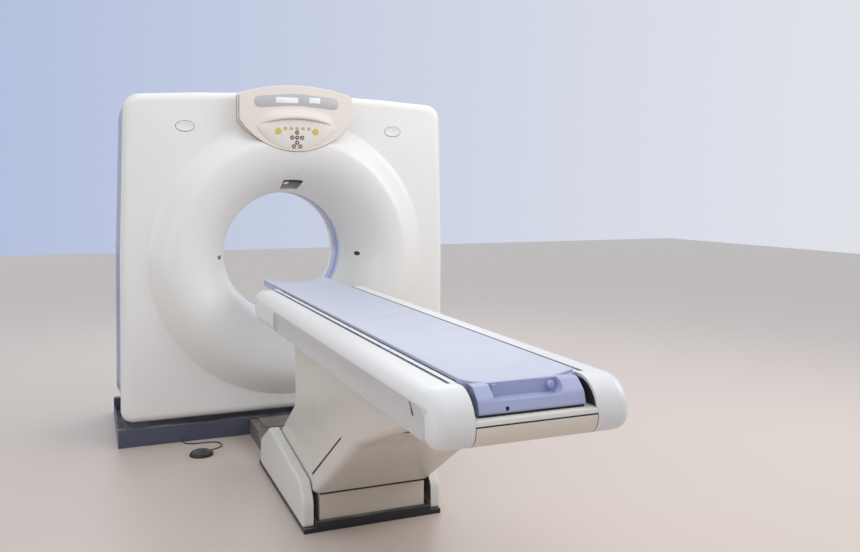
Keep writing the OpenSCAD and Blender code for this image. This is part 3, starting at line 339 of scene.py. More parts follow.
def dressed(finish, slot, *nodes, edge=1.2):
    """A CAD node that is right as it is: its finish, and edges broken by a small bevel."""
    for name in nodes:
        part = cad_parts[name]
        part.data.materials.clear()
        part.data.materials.append(finish)
        if "custom_normal" in part.data.attributes:
            part.data.attributes.remove(part.data.attributes["custom_normal"])
        part.data.shade_smooth()
        weld = part.modifiers.new("weld", "WELD")
        weld.merge_threshold = 0.00002
        bevel = part.modifiers.new("edge", "BEVEL")
        bevel.width, bevel.segments, bevel.angle_limit = edge / 1000, 2, math.radians(32)
        bevel.use_clamp_overlap = True
        part.modifiers.new("even", "WEIGHTED_NORMAL")


# Foot switch on the floor beside the base, a black domed pedal in a ring, on a thin rubber cord
# that comes out under the front rail; the cord is shown from end to end.
SWITCH = (-537, -655)
CORD_D = 6.0
cord_route = [(-604, -390.3, 14), (-604, -402, 13), (-602, -414, 9), (-597, -426, 4.6)]
cord_route += [(x, y, CORD_D / 2 + 0.1) for x, y in (
    (-588, -437), (-574, -446), (-556, -452), (-536, -455), (-514, -456), (-492, -456),
    (-470, -458), (-450, -463), (-434, -473), (-423, -488), (-417, -506), (-416, -525),
    (-419, -543), (-427, -559), (-439, -572), (-453, -582), (-468, -591))]
cord_route += [(-482, -600.5, 3.4), (-495.1, -611.8, 4)]
switch_black = moulded(
    "switch_black", "1b1b1e", rough=0.42, cloud=0.15, grain=900, bump=0.12, rub=0.25, bare="4a4a4e",
    dust=0.3)
cord_black = moulded("cord_black", "141416", rough=0.5, cloud=0.2, grain=1400, bump=0.1, dust=0.25)
ring_profile = [(57.4, 0), (59.2, 1.2), (59.2, 3), (58, 9), (57.2, 11.4), (56, 12),
                (54.6, 11.4), (54, 10.4), (54, 3)]
fitted("switch_ring", turned(ring_profile, 72, *SWITCH), switch_black, "base", "switch_base",
       slot="black_plastic")
DOME_R = 53.4
dome = [(0.01, 8), (DOME_R, 8)]
dome += [(DOME_R * math.cos(math.radians(a)) ** 0.8, 12 + 16 * math.sin(math.radians(a)))
         for a in range(0, 88, 8)]
dome += [(7, 27.9), (6, 27.2), (0.01, 27.0)]
fitted("switch_dome", turned(dome, 72, *SWITCH), switch_black, "pedal", "switch_pedal",
       slot="black_plastic")
cord_curve = bpy.data.curves.new("switch_lead", "CURVE")
cord_curve.dimensions = "3D"
spline = cord_curve.splines.new("NURBS")
spline.points.add(len(cord_route) - 1)
for point, xyz in zip(spline.points, cord_route):
    point.co = (xyz[0] / 1000, xyz[1] / 1000, xyz[2] / 1000, 1)
spline.order_u = 4
spline.use_endpoint_u = True
spline.resolution_u = 6
cord_curve.bevel_depth = CORD_D / 2000
cord_curve.bevel_resolution = 5
cord_curve.use_fill_caps = True
cord_curve.materials.append(cord_black)
lead = bpy.data.objects.new("switch_lead", cord_curve)
bpy.context.scene.collection.objects.link(lead)
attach(lead, "base")
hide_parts("switch_cord")

# Base frame of the gantry: rails and plate of welded steel in dark blue-grey enamel, scuffed
# where feet and mops reach it, with the two stanchions bolted on.
frame_enamel = moulded(
    "frame_enamel", "474a5c", rough=0.42, cloud=0.16, grain=300, bump=0.1, rub=0.5, bare="8b8e98",
    dust=0.35)
# Dark enamel of the table's base plate, painted near black so that its strip under the wings also
# stands for the shade there.
plate_enamel_and_shade = moulded(
    "plate_enamel_and_shade", "1b1a20", rough=0.4, cloud=0.16, grain=300, bump=0.1, rub=0.5, bare="6d6b72",
    dust=0.3)
dressed(frame_enamel, "frame_paint", "gantry_base", edge=2.5)
dressed(plate_enamel_and_shade, "frame_paint", "table_base", edge=2.5)
dressed(frame_enamel, "frame_paint", "stanchions", "tilt_frame", edge=1.5)

# Front and rear covers: each one large moulding in warm white, a rounded rim all round and the
# flared ring that leads into the bore; the ring's outer crease is crisp low on the left only.
ISO_Z, HALF_W, HALF_D = 985, 910, 390
LOW_Z, CROWN = ISO_Z - 120, 1890 - ISO_Z
ARCH, TAPER, CORNER_TOP = 36, 10, 85
SEAM, GAP, WALL = 320, 0.8, 8
BORE_R, CREASE_R, RIDGE_R = 350, 780, 625
RING_OUT, NECK, REAR_OUT, REAR_NECK = 80, 100, 30, 56
CRISP_TURN, CRISP_HALF, BLEND = 228, 35, 50
warm_white = moulded(
    "warm_white", "e4e3e0", rough=0.34, cloud=0.05, grain=420, bump=0.05, dust=0.06, coat=0.15)


def from_iso(x, z, u):
    """Across, above and in front of the isocentre, to the room's frame."""
    return (x, -u, ISO_Z + z)


arch_w = HALF_W - TAPER - CORNER_TOP
gantry_corners = [(HALF_W, -LOW_Z, 65, 12), (HALF_W + 5, 0, 900, 2),
                  (HALF_W - TAPER, CROWN - ARCH, CORNER_TOP, 12)]
gantry_corners += [(x, CROWN - ARCH * (x / HALF_W) ** 2, 900, 2)
                   for x in (arch_w * (1 - 2 * i / 6) for i in range(1, 6))]
gantry_corners += [(TAPER - HALF_W, CROWN - ARCH, CORNER_TOP, 12), (-HALF_W - 5, 0, 900, 2),
                   (-HALF_W, -LOW_Z, 65, 12)]


def finely(points, step):
    """The same closed outline with no side longer than step."""
    fine = []
    for i, p in enumerate(points):
        q = points[(i + 1) % len(points)]
        parts = max(1, math.ceil(math.dist(p, q) / step))
        fine += [(p[0] + (q[0] - p[0]) * k / parts, p[1] + (q[1] - p[1]) * k / parts)
                 for k in range(parts)]
    return fine


spokes = sorted(set(round(math.atan2(z, x), 5)
                    for x, z in finely(rounded(gantry_corners, 0), 17)))


def along_spokes(points):
    """Points of an outline on the same spokes from the isocentre."""
    found = []
    for spoke in spokes:
        c, s = math.cos(spoke), math.sin(spoke)
        for (x0, z0), (x1, z1) in zip(points, points[1:] + points[:1]):
            dx, dz = x1 - x0, z1 - z0
            det = c * dz - s * dx
            if abs(det) < 1e-9:
                continue
            reach, share = (x0 * dz - z0 * dx) / det, (x0 * s - z0 * c) / det
            if reach > 0 and -1e-6 <= share <= 1 + 1e-6:
                found.append((reach * c, reach * s))
                break
    return found


outline_at = {}


def gantry_outline(inset):
    key = round(inset, 3)
    if key not in outline_at:
        outline_at[key] = along_spokes(rounded(gantry_corners, inset))
    return outline_at[key]


def soften(spoke):
    """1 where the ring blends into the cover, 0 where its crease is crisp, low on the left."""
    away = abs((math.degrees(spoke) - CRISP_TURN + 180) % 360 - 180)
    t = max(0.0, min(1.0, (away - CRISP_HALF) / BLEND))
    return t * t * (3 - 2 * t)


def flare_rings(out, neck, wall, slope_n=16, dish_n=30):
    rings = []
    for i in range(slope_n + 1):
        t = i / slope_n
        r = CREASE_R + (RIDGE_R - CREASE_R) * t
        crisp, blended = math.sin(math.pi / 2 * t), 0.5 - 0.5 * math.cos(math.pi * t)
        rings.append([(r * math.cos(a), r * math.sin(a), HALF_D - wall + out
                       * (crisp + (blended - crisp) * soften(a))) for a in spokes])
    for i in range(1, dish_n + 1):
        a0 = math.pi / 2 * (1 - i / dish_n)
        r = RIDGE_R - (RIDGE_R - BORE_R - wall) * math.cos(a0)
        u = neck + (HALF_D + out - neck - wall) * math.sin(a0)
        rings.append([(r * math.cos(a), r * math.sin(a), u) for a in spokes])
    return rings


def end_cover(out, neck, rim_r=45):
    """Rings of one cover, from its seam over the rim and the ring to the bore, and back inside."""
    def side(wall):
        r = rim_r - wall
        edge = [(HALF_D - rim_r + r * math.sin(a), wall + r * (1 - math.cos(a)))
                for a in quarter()]
        return (stack((u, gantry_outline(d)) for u, d in [(SEAM + GAP, wall)] + edge)
                + flare_rings(out, neck, wall))
    return side(0) + side(WALL)[::-1]


front = fitted("cover_front", moved(end_cover(RING_OUT, NECK), from_iso), warm_white, "gantry",
               "front_cover", loop=True, slot="white_plastic")
rear = fitted("cover_rear", moved(end_cover(REAR_OUT, REAR_NECK),
                                  lambda x, z, u: from_iso(-x, z, -u)), warm_white, "gantry",
              "rear_cover", loop=True, slot="white_plastic")
NOTCH_X, NOTCH_W, NOTCH_LOW, NOTCH_TOP = 792, 86, 118, 150
for cover, s in ((front, -1), (rear, 1)):
    carved(cover, *[loft(box(x, x + NOTCH_W, s * (SEAM - 2), s * (SEAM + 40), NOTCH_LOW,
                             NOTCH_TOP)) for x in (NOTCH_X, -NOTCH_X - NOTCH_W)])


def prism(outline, low, high, put):
    return loft(moved(slab(outline, low, high), put))


# Side covers of formed sheet in slate blue between the two end covers, and the white top cover,
# each held by hidden catches with a narrow shadow gap at every joint.
slate_blue = moulded(
    "slate_blue", "6d80b0", rough=0.36, cloud=0.08, dust=0.15, rub=0.2, bare="9daacb", coat=0.1)


def open_line(points, keep):
    """The kept stretch of a closed outline, from one end to the other."""
    line = [p for p in points if keep(*p)]
    cut = max(range(len(line)), key=lambda i: math.dist(line[i], line[i - 1]))
    return line[cut:] + line[:cut]


def sheet_between(name, finish, node, slot, keep):
    """A strip of the covers' outline between the seams, one closed shell."""
    lines = [open_line(finely(rounded(gantry_corners, d), 25), keep) for d in (0, WALL)]
    n = min(len(line) for line in lines)
    outer, inner = [[line[round(i * (len(line) - 1) / (n - 1))] for i in range(n)]
                    for line in lines]
    d = SEAM - GAP
    fitted(name, moved(slab(outer + inner[::-1], -d, -d / 2, 0, d / 2, d), from_iso), finish,
           "gantry", node, slot=slot)


SIDE_LOW, TOP_HALF = 245 - ISO_Z, 640
sheet_between("cover_side_right", slate_blue, "side_covers", "blue_plastic",
              lambda x, z: x > TOP_HALF and z > SIDE_LOW)
sheet_between("cover_side_left", slate_blue, "side_covers", "blue_plastic",
              lambda x, z: x < -TOP_HALF and z > SIDE_LOW)
sheet_between("cover_top", warm_white, "top_cover", "white_plastic",
              lambda x, z: abs(x) < TOP_HALF - 1 and z > 0)

# Bore liner, a rolled tube in pale blue plastic, with the thin dark film of the scan window.
liner_blue = moulded("liner_blue", "a9b8e0", rough=0.28, bump=0.03, coat=0.4)
film_blue = moulded("film_blue", "8c9cc8", rough=0.16, cloud=0.05, grain=300, bump=0.02, coat=0.6)
LINER_T, FILM_T, FILM_HALF, ROUNDED = 6, 1, 50, 1.2
liner = [(BORE_R + LINER_T, -REAR_NECK), (BORE_R + LINER_T, NECK), (BORE_R + ROUNDED, NECK),
         (BORE_R, NECK - ROUNDED), (BORE_R, ROUNDED - REAR_NECK), (BORE_R + ROUNDED, -REAR_NECK)]
film = [(BORE_R, -FILM_HALF), (BORE_R, FILM_HALF), (BORE_R - 0.8, FILM_HALF),
        (BORE_R - FILM_T, FILM_HALF - 0.4), (BORE_R - FILM_T, 0.4 - FILM_HALF),
        (BORE_R - 0.8, -FILM_HALF)]
fitted("liner", moved(turned(liner, 192), from_iso), liner_blue, "gantry", "bore_liner",
       loop=True, slot="blue_plastic")
fitted("window_film", moved(turned(film, 192), from_iso), film_blue, "gantry", "scan_window",
       loop=True, slot="black_plastic")

# Dark lenses of the positioning lasers left and right on the flare, and the slanted window of
# the aperture light at its top; the two oval caps close the holes of the lifting eyes.
lens_black = moulded("lens_black", "16171b", rough=0.12, cloud=0.1, grain=300, bump=0.0, coat=0.8)
mark_white = moulded("mark_white", "dfe2e4", rough=0.3, bump=0.02, cloud=0.07, grain=520)
FLARE_A, FLARE_B = RIDGE_R - BORE_R, HALF_D + RING_OUT - NECK


def on_flare(r, turn, lift):
    """A point on the front flare at radius r and a turn in degrees, lifted off its surface."""
    t = math.acos((RIDGE_R - r) / FLARE_A)
    u = NECK + FLARE_B * math.sin(t)
    tilt = math.atan2(math.cos(t) / FLARE_A, math.sin(t) / FLARE_B)
    r -= lift * math.sin(tilt)
    u += lift * math.cos(tilt)
    a = math.radians(turn)
    return from_iso(r * math.cos(a), r * math.sin(a), u)


def window_patch(name, r0, turn0, length, height, low, high, finish, *nodes, slant=4, inner=5):
    """A pane that follows the flare, slanted at its ends, with its corners rounded."""
    shape = finely(rounded([(-length / 2 - slant, -height / 2, 5, 5),
                            (length / 2 - slant, -height / 2, 4, 5),
                            (length / 2 + slant, height / 2, 5, 5),
                            (-length / 2 + slant, height / 2, 4, 5)]), 6)

    def ring(share, lift):
        return [on_flare(r0 + b * share, turn0 - math.degrees(a * share / r0), lift)
                for a, b in shape]
    rings = [ring(0.985, low), ring(1, low + 1), ring(1, high - 0.8), ring(0.985, high)]
    rings += [ring(1 - (i + 1) / (inner + 1), high) for i in range(inner)]
    fitted(name, rings, finish, "gantry", *nodes, slot="black_plastic")


window_patch("light_window", 396, 89.4, 109, 51, -6, 0.6, lens_black, "light_windows")
window_patch("light_mark", 405, 94, 30, 12, 0.3, 1.0, mark_white)
LASER_R = 397
laser_profile = [(12, -6), (12, 0.2), (11.4, 0.9), (9.6, 1.1), (9.2, 0.5), (6, 1.2), (0.1, 1.6)]
for side, turn in (("right", -1.5), ("left", 181.5)):
    rings = [[on_flare(LASER_R + up, turn + math.degrees(across / LASER_R), lift)
              for across, up in circle(0, 0, r)] for r, lift in laser_profile]
    fitted("laser_lens_" + side, rings, lens_black, "gantry", "light_windows",
           slot="black_plastic")

SIDES = (("left", -1), ("right", 1))
CAP_X, CAP_Z, CAP_W, CAP_H = 590, 706, 48, 28
cap_profile = [(1, -6), (1, 1.6), (0.985, 2.6), (0.95, 3.0), (0.86, 3.0), (0.845, 2.5),
               (0.83, 2.3), (0.1, 2.4)]
cap_joint = [(0.2, -0.4), (2.2, -0.4), (2.2, 0.5), (0.2, 0.5)]
for side, s in SIDES:
    def oval(k, d, s=s):
        return circle(s * CAP_X, CAP_Z, CAP_W * k + d, 96, CAP_H * k + d)
    rings = stack((HALF_D + h, oval(k, 0)) for k, h in cap_profile)
    fitted("oval_cap_" + side, moved(rings, from_iso), warm_white, "gantry", "cover_caps",
           slot="white_plastic")
    rings = stack((HALF_D + h, oval(1, d)) for d, h in cap_joint)
    fitted("cap_joint_" + side, moved(rings, from_iso), lens_black, "gantry", loop=True)

# Console let into the top of the front cover: a cream moulding with a round lower edge, a brow
# over the keypad that runs out to nothing at both ends and at its top, a grey strip with two
# displays, and a thin joint to the cover; a dark brown band round its side wall is painted shade.
CONSOLE, TIP, ROUND = 316, 1561 - ISO_Z, 379
FACE, BACK = HALF_D + 82, SEAM + 12
ROOF, ROOF_DROP = CROWN + 36, 50
console_cream = moulded(
    "console_cream", "e2dad2", rough=0.4, cloud=0.05, grain=700, bump=0.08, dust=0.12, rub=0.2,
    bare="f3ede4")
strip_grey = moulded("strip_grey", "bab9b9", rough=0.3, cloud=0.04, grain=600, bump=0.03, dust=0.1)
display_white = moulded(
    "display_white", "eef2f4", rough=0.14, cloud=0.03, grain=300, bump=0.0, coat=0.7)


def sag(x, r):
    return r - math.sqrt(r * r - x * x)


side_z = TIP + sag(CONSOLE, ROUND)
console_corners = [(x, TIP + sag(x, ROUND), 80, 2)
                   for x in (CONSOLE * (2 * i / 24 - 1) for i in range(1, 24))]
console_corners += [(CONSOLE, side_z, 30, 8), (CONSOLE, ROOF - ROOF_DROP, 24, 8)]
console_corners += [(x, ROOF - ROOF_DROP * (x / CONSOLE) ** 2, 80, 2)
                    for x in (CONSOLE * (1 - 2 * i / 16) for i in range(1, 16))]
console_corners += [(-CONSOLE, ROOF - ROOF_DROP, 24, 8), (-CONSOLE, side_z, 30, 8)]
console = fitted("console", moved(stack(rim(console_corners, BACK, FACE, 5, 8)), from_iso),
                 console_cream, "gantry", "console_housing", slot="cream_plastic")
# Dark brown for painted shade on the console's side wall.
side_shade_brown = moulded("side_shade_brown", "574f49", rough=0.5, cloud=0.1, grain=700, bump=0.05)


def open_band(corners, outset, inset, keep, step=10):
    """A strip of an outline as one closed loop: the kept points outside and back inside."""
    outer, inner = [open_line(finely(rounded(corners, d), step), keep) for d in (outset, inset)]
    return outer + inner[::-1]


# A band of it round the console's side, near the front, stands for the side wall in shade.
band = open_band(console_corners, -0.3, 2, lambda x, z: z < ROOF - ROOF_DROP - 8)
fitted("console_trim", moved(slab(band, FACE - 18, FACE - 4.6), from_iso), side_shade_brown, "gantry")


BROW_HALF, LEDGE, BROW_TOP, BROW_OUT, BEND = 205, 756, 822, 22, 0.00079


def arc_z(z, x):
    return z - BEND * x * x


brow_profile = [(0, 0.0), (0, 0.6), (0.02, 0.82), (0.06, 0.94), (0.12, 1.0)]
brow_profile += [(0.12 + 0.88 * i / 10, 0.5 + 0.5 * math.cos(math.pi * i / 10))
                 for i in range(1, 11)]
rings = []
for i in range(61):
    x = BROW_HALF * (2 * i / 60 - 1)
    height = BROW_OUT * math.cos(math.pi / 2 * abs(x / BROW_HALF) ** 2.2) ** 1.3 + 0.05
    rings.append([(x, arc_z(LEDGE + (BROW_TOP - LEDGE) * s, x), FACE + height * h)
                  for s, h in brow_profile]
                 + [(x, arc_z(z, x), FACE - 3) for z in (BROW_TOP, LEDGE)])
fitted("console_brow", moved(rings, from_iso), console_cream, "gantry", slot="cream_plastic")
STRIP_HALF, STRIP_Z, STRIP_H, STRIP_RISE = 236, 811, 64, 22
strip_corners = [(-STRIP_HALF, STRIP_Z, 30, 8), (0, STRIP_Z + STRIP_RISE, 600, 12),
                 (STRIP_HALF, STRIP_Z, 30, 8), (STRIP_HALF, STRIP_Z + STRIP_H, 30, 8),
                 (0, STRIP_Z + STRIP_H + STRIP_RISE, 600, 12),
                 (-STRIP_HALF, STRIP_Z + STRIP_H, 30, 8)]


def plate(name, shape, low, high, finish, *nodes, soft=0.8, slot=None):
    """A thin plate in front of the isocentre with its front edge broken."""
    rings = stack([(low, shape(0)), (high - soft, shape(0)),
                   (high - soft * 0.3, shape(soft * 0.3)), (high, shape(soft))])
    return fitted(name, moved(rings, from_iso), finish, "gantry", *nodes, slot=slot)


plate("display_band", lambda d: rounded(strip_corners, d), FACE - 1, FACE + 2, strip_grey,
      "display_strip", slot="grey_plastic")
DISPLAY_H = 31
for side, x0, z0, w in (("position", -119, 842, 124), ("tilt", 68, 845, 63)):
    corners = [(x0, z0, 3, 4), (x0 + w, z0, 3, 4), (x0 + w, z0 + DISPLAY_H, 3, 4),
               (x0, z0 + DISPLAY_H, 3, 4)]
    plate("display_" + side, lambda d: rounded(corners, d), FACE + 1, FACE + 3.5, display_white,
          slot="grey_plastic")

# Keypad panel, a crescent under the brow, with five dull olive lamps, two large landmark buttons
# and seven keys; each key is a shallow cup with a raised arrow, or a round mark for home.
PAD_T, PAD_HALF, PAD_Z, PAD_R = 4, 216, 588, 270
KEY_R, BUTTON_R, BUTTON_X, BUTTON_Z = 11, 16.5, 104, 687
LAMP_R, LAMP_Z, LAMP_GAP = 10, 704, 33
KEY_FRONT = FACE + PAD_T + 4
lamp_olive = moulded("lamp_olive", "b9b184", rough=0.22, grain=400, bump=0.02, coat=0.5)
button_yellow = moulded(
    "button_yellow", "cdb944", rough=0.26, grain=400, bump=0.03, dust=0.05, rub=0.15, bare="f0de7c",
    coat=0.5)
key_brown = moulded(
    "key_brown", "5f564d", rough=0.42, cloud=0.08, grain=800, bump=0.08, dust=0.05, rub=0.4,
    bare="b5aa9c")
arrow_cream = moulded("arrow_cream", "efe7db", rough=0.4, bump=0.03, cloud=0.07, grain=520)
panel_cream = moulded(
    "panel_cream", "e0d9d0", rough=0.34, cloud=0.04, grain=700, bump=0.05, dust=0.06, rub=0.25,
    bare="fbf7f0")


def pad_outline(d, n=30):
    def low(x):
        return PAD_Z + d + sag(x, PAD_R)
    xs = [(PAD_HALF - d) * (2 * i / n - 1) for i in range(n + 1)]
    return ([(x, low(x)) for x in xs]
            + [(-x, max(arc_z(LEDGE, x) - 2 - d, low(x) + 0.2)) for x in xs])


keys = [("up", 0, 681, 90), ("left", -28, 653, 180), ("home", 0, 653, None),
        ("right", 28, 653, 0), ("down", 0, 625, 270), ("in", -18, 604, 135), ("out", 18, 604, 45)]
pad = plate("keypad", pad_outline, FACE, FACE + PAD_T, panel_cream, "keypad_panel", soft=1.2,
            slot="cream_plastic")
holes = [(x, z, KEY_R) for _, x, z, _ in keys]
holes += [(s * BUTTON_X, BUTTON_Z, BUTTON_R) for _, s in SIDES]
for piece in (pad, console):
    carved(piece, *[prism(circle(x, z, r + 0.4), FACE - 12, FACE + 20, from_iso)
                    for x, z, r in holes])


def round_cap(name, x, z, r, front, profile, finish, body, node, slot, n=48):
    """A cap in front of the isocentre from pairs of a share of its radius and a level."""
    rings = turned([(r * k, front + h) for k, h in profile], n, x, z)
    fitted(name, moved(rings, from_iso), finish, body, node, slot=slot)


key_profile = [(1.0, -11), (1.0, -1.4), (0.96, -0.5), (0.88, 0), (0.78, 0), (0.72, -0.7),
               (0.4, -0.9), (0.02, -0.9)]
for name, x, z, way in keys:
    body = name + "_key"
    round_cap("keycap_" + name, x, z, KEY_R, KEY_FRONT, key_profile, key_brown, body,
              "key_" + name, "key_plastic")
    mark = [(-4, -2.6), (0, -2.6), (0, -5), (5, 0), (0, 5), (0, 2.6), (-4, 2.6)]
    if way is None:
        mark = circle(0, 0, 3.6, 24)
    a = math.radians(way or 0)
    mark = [(x + p * math.cos(a) - q * math.sin(a), z + p * math.sin(a) + q * math.cos(a))
            for p, q in mark]
    fitted("arrow_" + name, moved(slab(mark, KEY_FRONT - 1.1, KEY_FRONT - 0.3), from_iso),
           arrow_cream, body)
button_profile = [(1.0, -11), (1.0, -1.6), (0.97, -0.6), (0.9, -0.1), (0.8, 0), (0.74, -0.4),
                  (0.6, -0.2), (0.3, 0), (0.02, 0)]
for side, s in SIDES:
    round_cap("button_" + side, s * BUTTON_X, BUTTON_Z, BUTTON_R, KEY_FRONT, button_profile,
              button_yellow, "landmark_" + side, "landmark_button_" + side, "yellow_plastic", 60)
lamp_profile = [(1.0, -1), (1.0, 0.4), (0.94, 1.2), (0.8, 1.7), (0.5, 2.0), (0.02, 2.1)]
for i in range(-2, 3):
    round_cap("lamp_%d" % (i + 3), LAMP_GAP * i, LAMP_Z - abs(i), LAMP_R, FACE + PAD_T,
              lamp_profile, lamp_olive, "gantry", "indicator_lamps", "yellow_plastic", 40)
carved(front, prism(rounded(console_corners, -2.0), BACK - 3, FACE + 60, from_iso))

# Working parts inside the gantry: bearings, pins and rings of ground steel, cast housings in grey
# machine enamel, brass slip rings, and the black belt and brushes; the trunnion pins are drawn in
# by 0.2 mm for their running fit.


def metal(name, code, rough, scale):
    """Ground or turned metal: fine streaks across the colour, the gloss and the relief."""
    made, tree, shader = surface(name)
    place = wire(tree, "TexCoord").outputs["Object"]
    spot = wire(tree, "Mapping", {"Vector": place, "Scale": scale}).outputs[0]
    streak = wire(tree, "TexNoise", {"Vector": spot, "Scale": 30.0, "Detail": 6.0}).outputs[0]
    stain = wire(tree, "TexNoise", {"Vector": place, "Scale": 5.0, "Detail": 4.0}).outputs[0]
    dark = [c * 0.72 for c in tint(code)[:3]] + [1]
    shade = between(tree, times(tree, streak, stain, "ADD"), 0.8, 1.2, 0, 0.6)
    relief = wire(tree, "Bump", {"Strength": 0.05, "Distance": 0.0005, "Height": streak})
    feed(tree, shader, {"Base Color": mixed(tree, shade, tint(code), dark), "Metallic": 1.0,
                        "Roughness": between(tree, streak, 0.3, 0.7, rough - 0.08, rough + 0.14),
                        "Normal": relief.outputs[0]})
    return made


ground_steel = metal("ground_steel", "c2c5c9", 0.26, (1, 1, 14))
bright_strip = moulded(
    "bright_strip", "f1f1f2", rough=0.3, grain=600, bump=0.04, rub=0.2, bare="ffffff", metal=0.1)
plate_metal = metal("plate_metal", "bfc3c7", 0.34, (3, 3, 3))
ring_brass = metal("ring_brass", "c19a45", 0.24, (1, 1, 8))
machine_grey = moulded(
    "machine_grey", "8b939c", rough=0.45, cloud=0.12, grain=260, bump=0.14, rub=0.5, bare="c0c4c8",
    dust=0.3)
# Black plastic of the boards and brushes; the same black also serves for sheets of painted shade in
# gaps, slots and the foot caps.
black_and_shade = moulded(
    "black_and_shade", "22252a", rough=0.5, cloud=0.2, grain=700, bump=0.15, rub=0.1, bare="50555c",
    dust=0.25)
belt_rubber = moulded(
    "belt_rubber", "1a1a1c", rough=0.62, cloud=0.2, grain=1200, bump=0.2, rub=0.1, bare="3a3a3c",
    dust=0.3)
dressed(ground_steel, "steel", "trunnion_bearings", "trunnion_pins", "bearing_outer_ring",
        "bearing_inner_ring", "lift_cylinder", "lift_ram", "motor_pulley")
running_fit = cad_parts["trunnion_pins"].modifiers.new("running_fit", "DISPLACE")
running_fit.strength, running_fit.mid_level = -0.0002, 0
dressed(plate_metal, "aluminium_plate", "rotor_disc")
dressed(ring_brass, "brass_rings", "slip_ring", edge=0.4)
dressed(machine_grey, "machine_paint", "tilt_gearmotor", "drive_motor", "xray_tube",
        "generator_tanks", "collimator", "detector_arc", "table_chassis")
dressed(black_and_shade, "black_plastic", "brush_block", "data_unit")
dressed(belt_rubber, "rubber_black", "drive_belt", edge=0.5)

# Table side covers: two long white mouldings with full round caps at the foot end, a recess along
# each side whose floor slopes in towards the gantry's base, and the small dark slot near the foot.
HALF_T, EDGE_R = 296, 45
TOP_T, LOW_T, HEAD_T, FOOT_T = 843, 692, -785, -3140
CAP_LEN, CAP_IN, CAP_OUT = 118, 180, 205.2
SLOT_Y, SLOT_Z, SLOT_D, JOINT_Z = -2977, 776, 14, 757
UNDER_X, UNDER_Y = (190, 251), (-2884, -1280)
table_white = moulded(
    "table_white", "dedddc", rough=0.34, cloud=0.05, grain=420, bump=0.05, dust=0.06, coat=0.1)
# Greyer white for the faces of the side recesses: painted shade of the recess.
recess_shade = moulded("recess_shade", "c9c8c7", rough=0.4, cloud=0.05, grain=420, bump=0.05)
table_corners = [(FOOT_T, LOW_T, 55, 14), (HEAD_T, LOW_T, 60, 10), (HEAD_T, TOP_T, 46, 10),
                 (FOOT_T, TOP_T, 93, 18)]


def beside(s):
    """From a side view of the table (along, up, out) to the frame, left or right."""
    return lambda y, z, x: (s * x, y, z)


def cut_outline(points, y_max):
    """The part of an outline on the foot side of y_max, closed by a straight line."""
    kept = []
    for p, q in zip(points, points[1:] + points[:1]):
        if p[0] <= y_max:
            kept.append(p)
        if (p[0] - y_max) * (q[0] - y_max) < 0:
            t = (y_max - p[0]) / (q[0] - p[0])
            kept.append((y_max, p[1] + (q[1] - p[1]) * t))
    return kept


slot_shape = rounded([(SLOT_Y + y, SLOT_Z + z, 7, 4)
                      for y, z in ((-8, -20), (8, -20), (8, 20), (-8, 20))])
side_levels = rim(table_corners, 205, HALF_T, EDGE_R, 6, 12)
side_levels = side_levels[:15] + [(at - 10, line) for at, line in side_levels[15:]]
RECESS_HEAD, RECESS_LOW = -1262, 690
recess_steps = [(4, -3092, 804), (0, -3088, 800), (-1.5, -3080, 793), (-5, -3062, 779),
                (-9.5, -3038, 759), (-13, -3012, 737)]


def recess_outline(foot, top):
    """Open at the bottom, square towards the gantry and well rounded towards the foot."""
    return rounded([(foot, RECESS_LOW, 4, 4), (RECESS_HEAD, RECESS_LOW, 4, 4),
                    (RECESS_HEAD, top, 5, 4), (foot, top, 40, 12)])


recess = stack((HALF_T + out, recess_outline(foot, top)) for out, foot, top in recess_steps)
inner_cap = cut_outline(rounded(table_corners), FOOT_T + CAP_LEN)
# Painted shade: a black sheet on the inner face of each foot cap, 9 mm short of its edge, for the
# shade beside the handle block.
cap_shade = cut_outline(rounded(table_corners, 9), FOOT_T + CAP_LEN - 8)
cap_shade = [(y, max(z, 771)) for y, z in cap_shade]
cap_gap = open_band(table_corners, -0.15, 2, lambda y, z: z < JOINT_Z and y < -2835,
                    4)
for side, s in SIDES:
    shape = fitted("table_side_" + side, moved(stack(side_levels), beside(s)), table_white,
                   "table", "table_cover_" + side, slot="white_plastic")
    carved(shape, loft(moved(recess, beside(s))),
           prism(slot_shape, HALF_T - SLOT_D, HALF_T + 4, beside(s)),
           loft(box(*[s * x for x in UNDER_X], *UNDER_Y, LOW_T - 12, LOW_T + 8)))
    # The recess's faces take the greyer white, painted shade.
    shape.data.materials.append(recess_shade)
    for face in shape.data.polygons:
        x, y, z = face.center * 1000
        if HALF_T - SLOT_D < abs(x) < HALF_T - 0.4 and -3090 < y < RECESS_HEAD and 700 < z < 801:
            face.material_index = 1
    # A black plate at the bottom of the slot: painted shade of its depth.
    fitted("slot_floor_" + side, moved(slab(slot_shape, HALF_T - SLOT_D - 0.5, HALF_T - 10),
                                     beside(s)), black_and_shade, "table")
    fitted("foot_cap_" + side, moved(slab(inner_cap, CAP_IN, CAP_OUT), beside(s)),
           table_white, "table", slot="white_plastic")
    # Black sheet on the cap's inner face: painted shade.
    fitted("cap_liner_" + side, moved(slab(cap_shade, CAP_IN - 1.4, CAP_IN + 0.2), beside(s)),
           black_and_shade, "table")
    fitted("cap_joint_low_" + side, moved(slab(cap_gap, CAP_IN - 1.3, CAP_IN + 0.6), beside(s)),
           black_and_shade, "table")
    fitted("strip_seam_" + side, box(s * 203.5, s * 208.5, FOOT_T + CAP_LEN, HEAD_T - 40,
                                     TOP_T - 0.1, TOP_T + 0.3), black_and_shade, "table")
dressed(bright_strip, "steel", "cover_strips", edge=0.6)

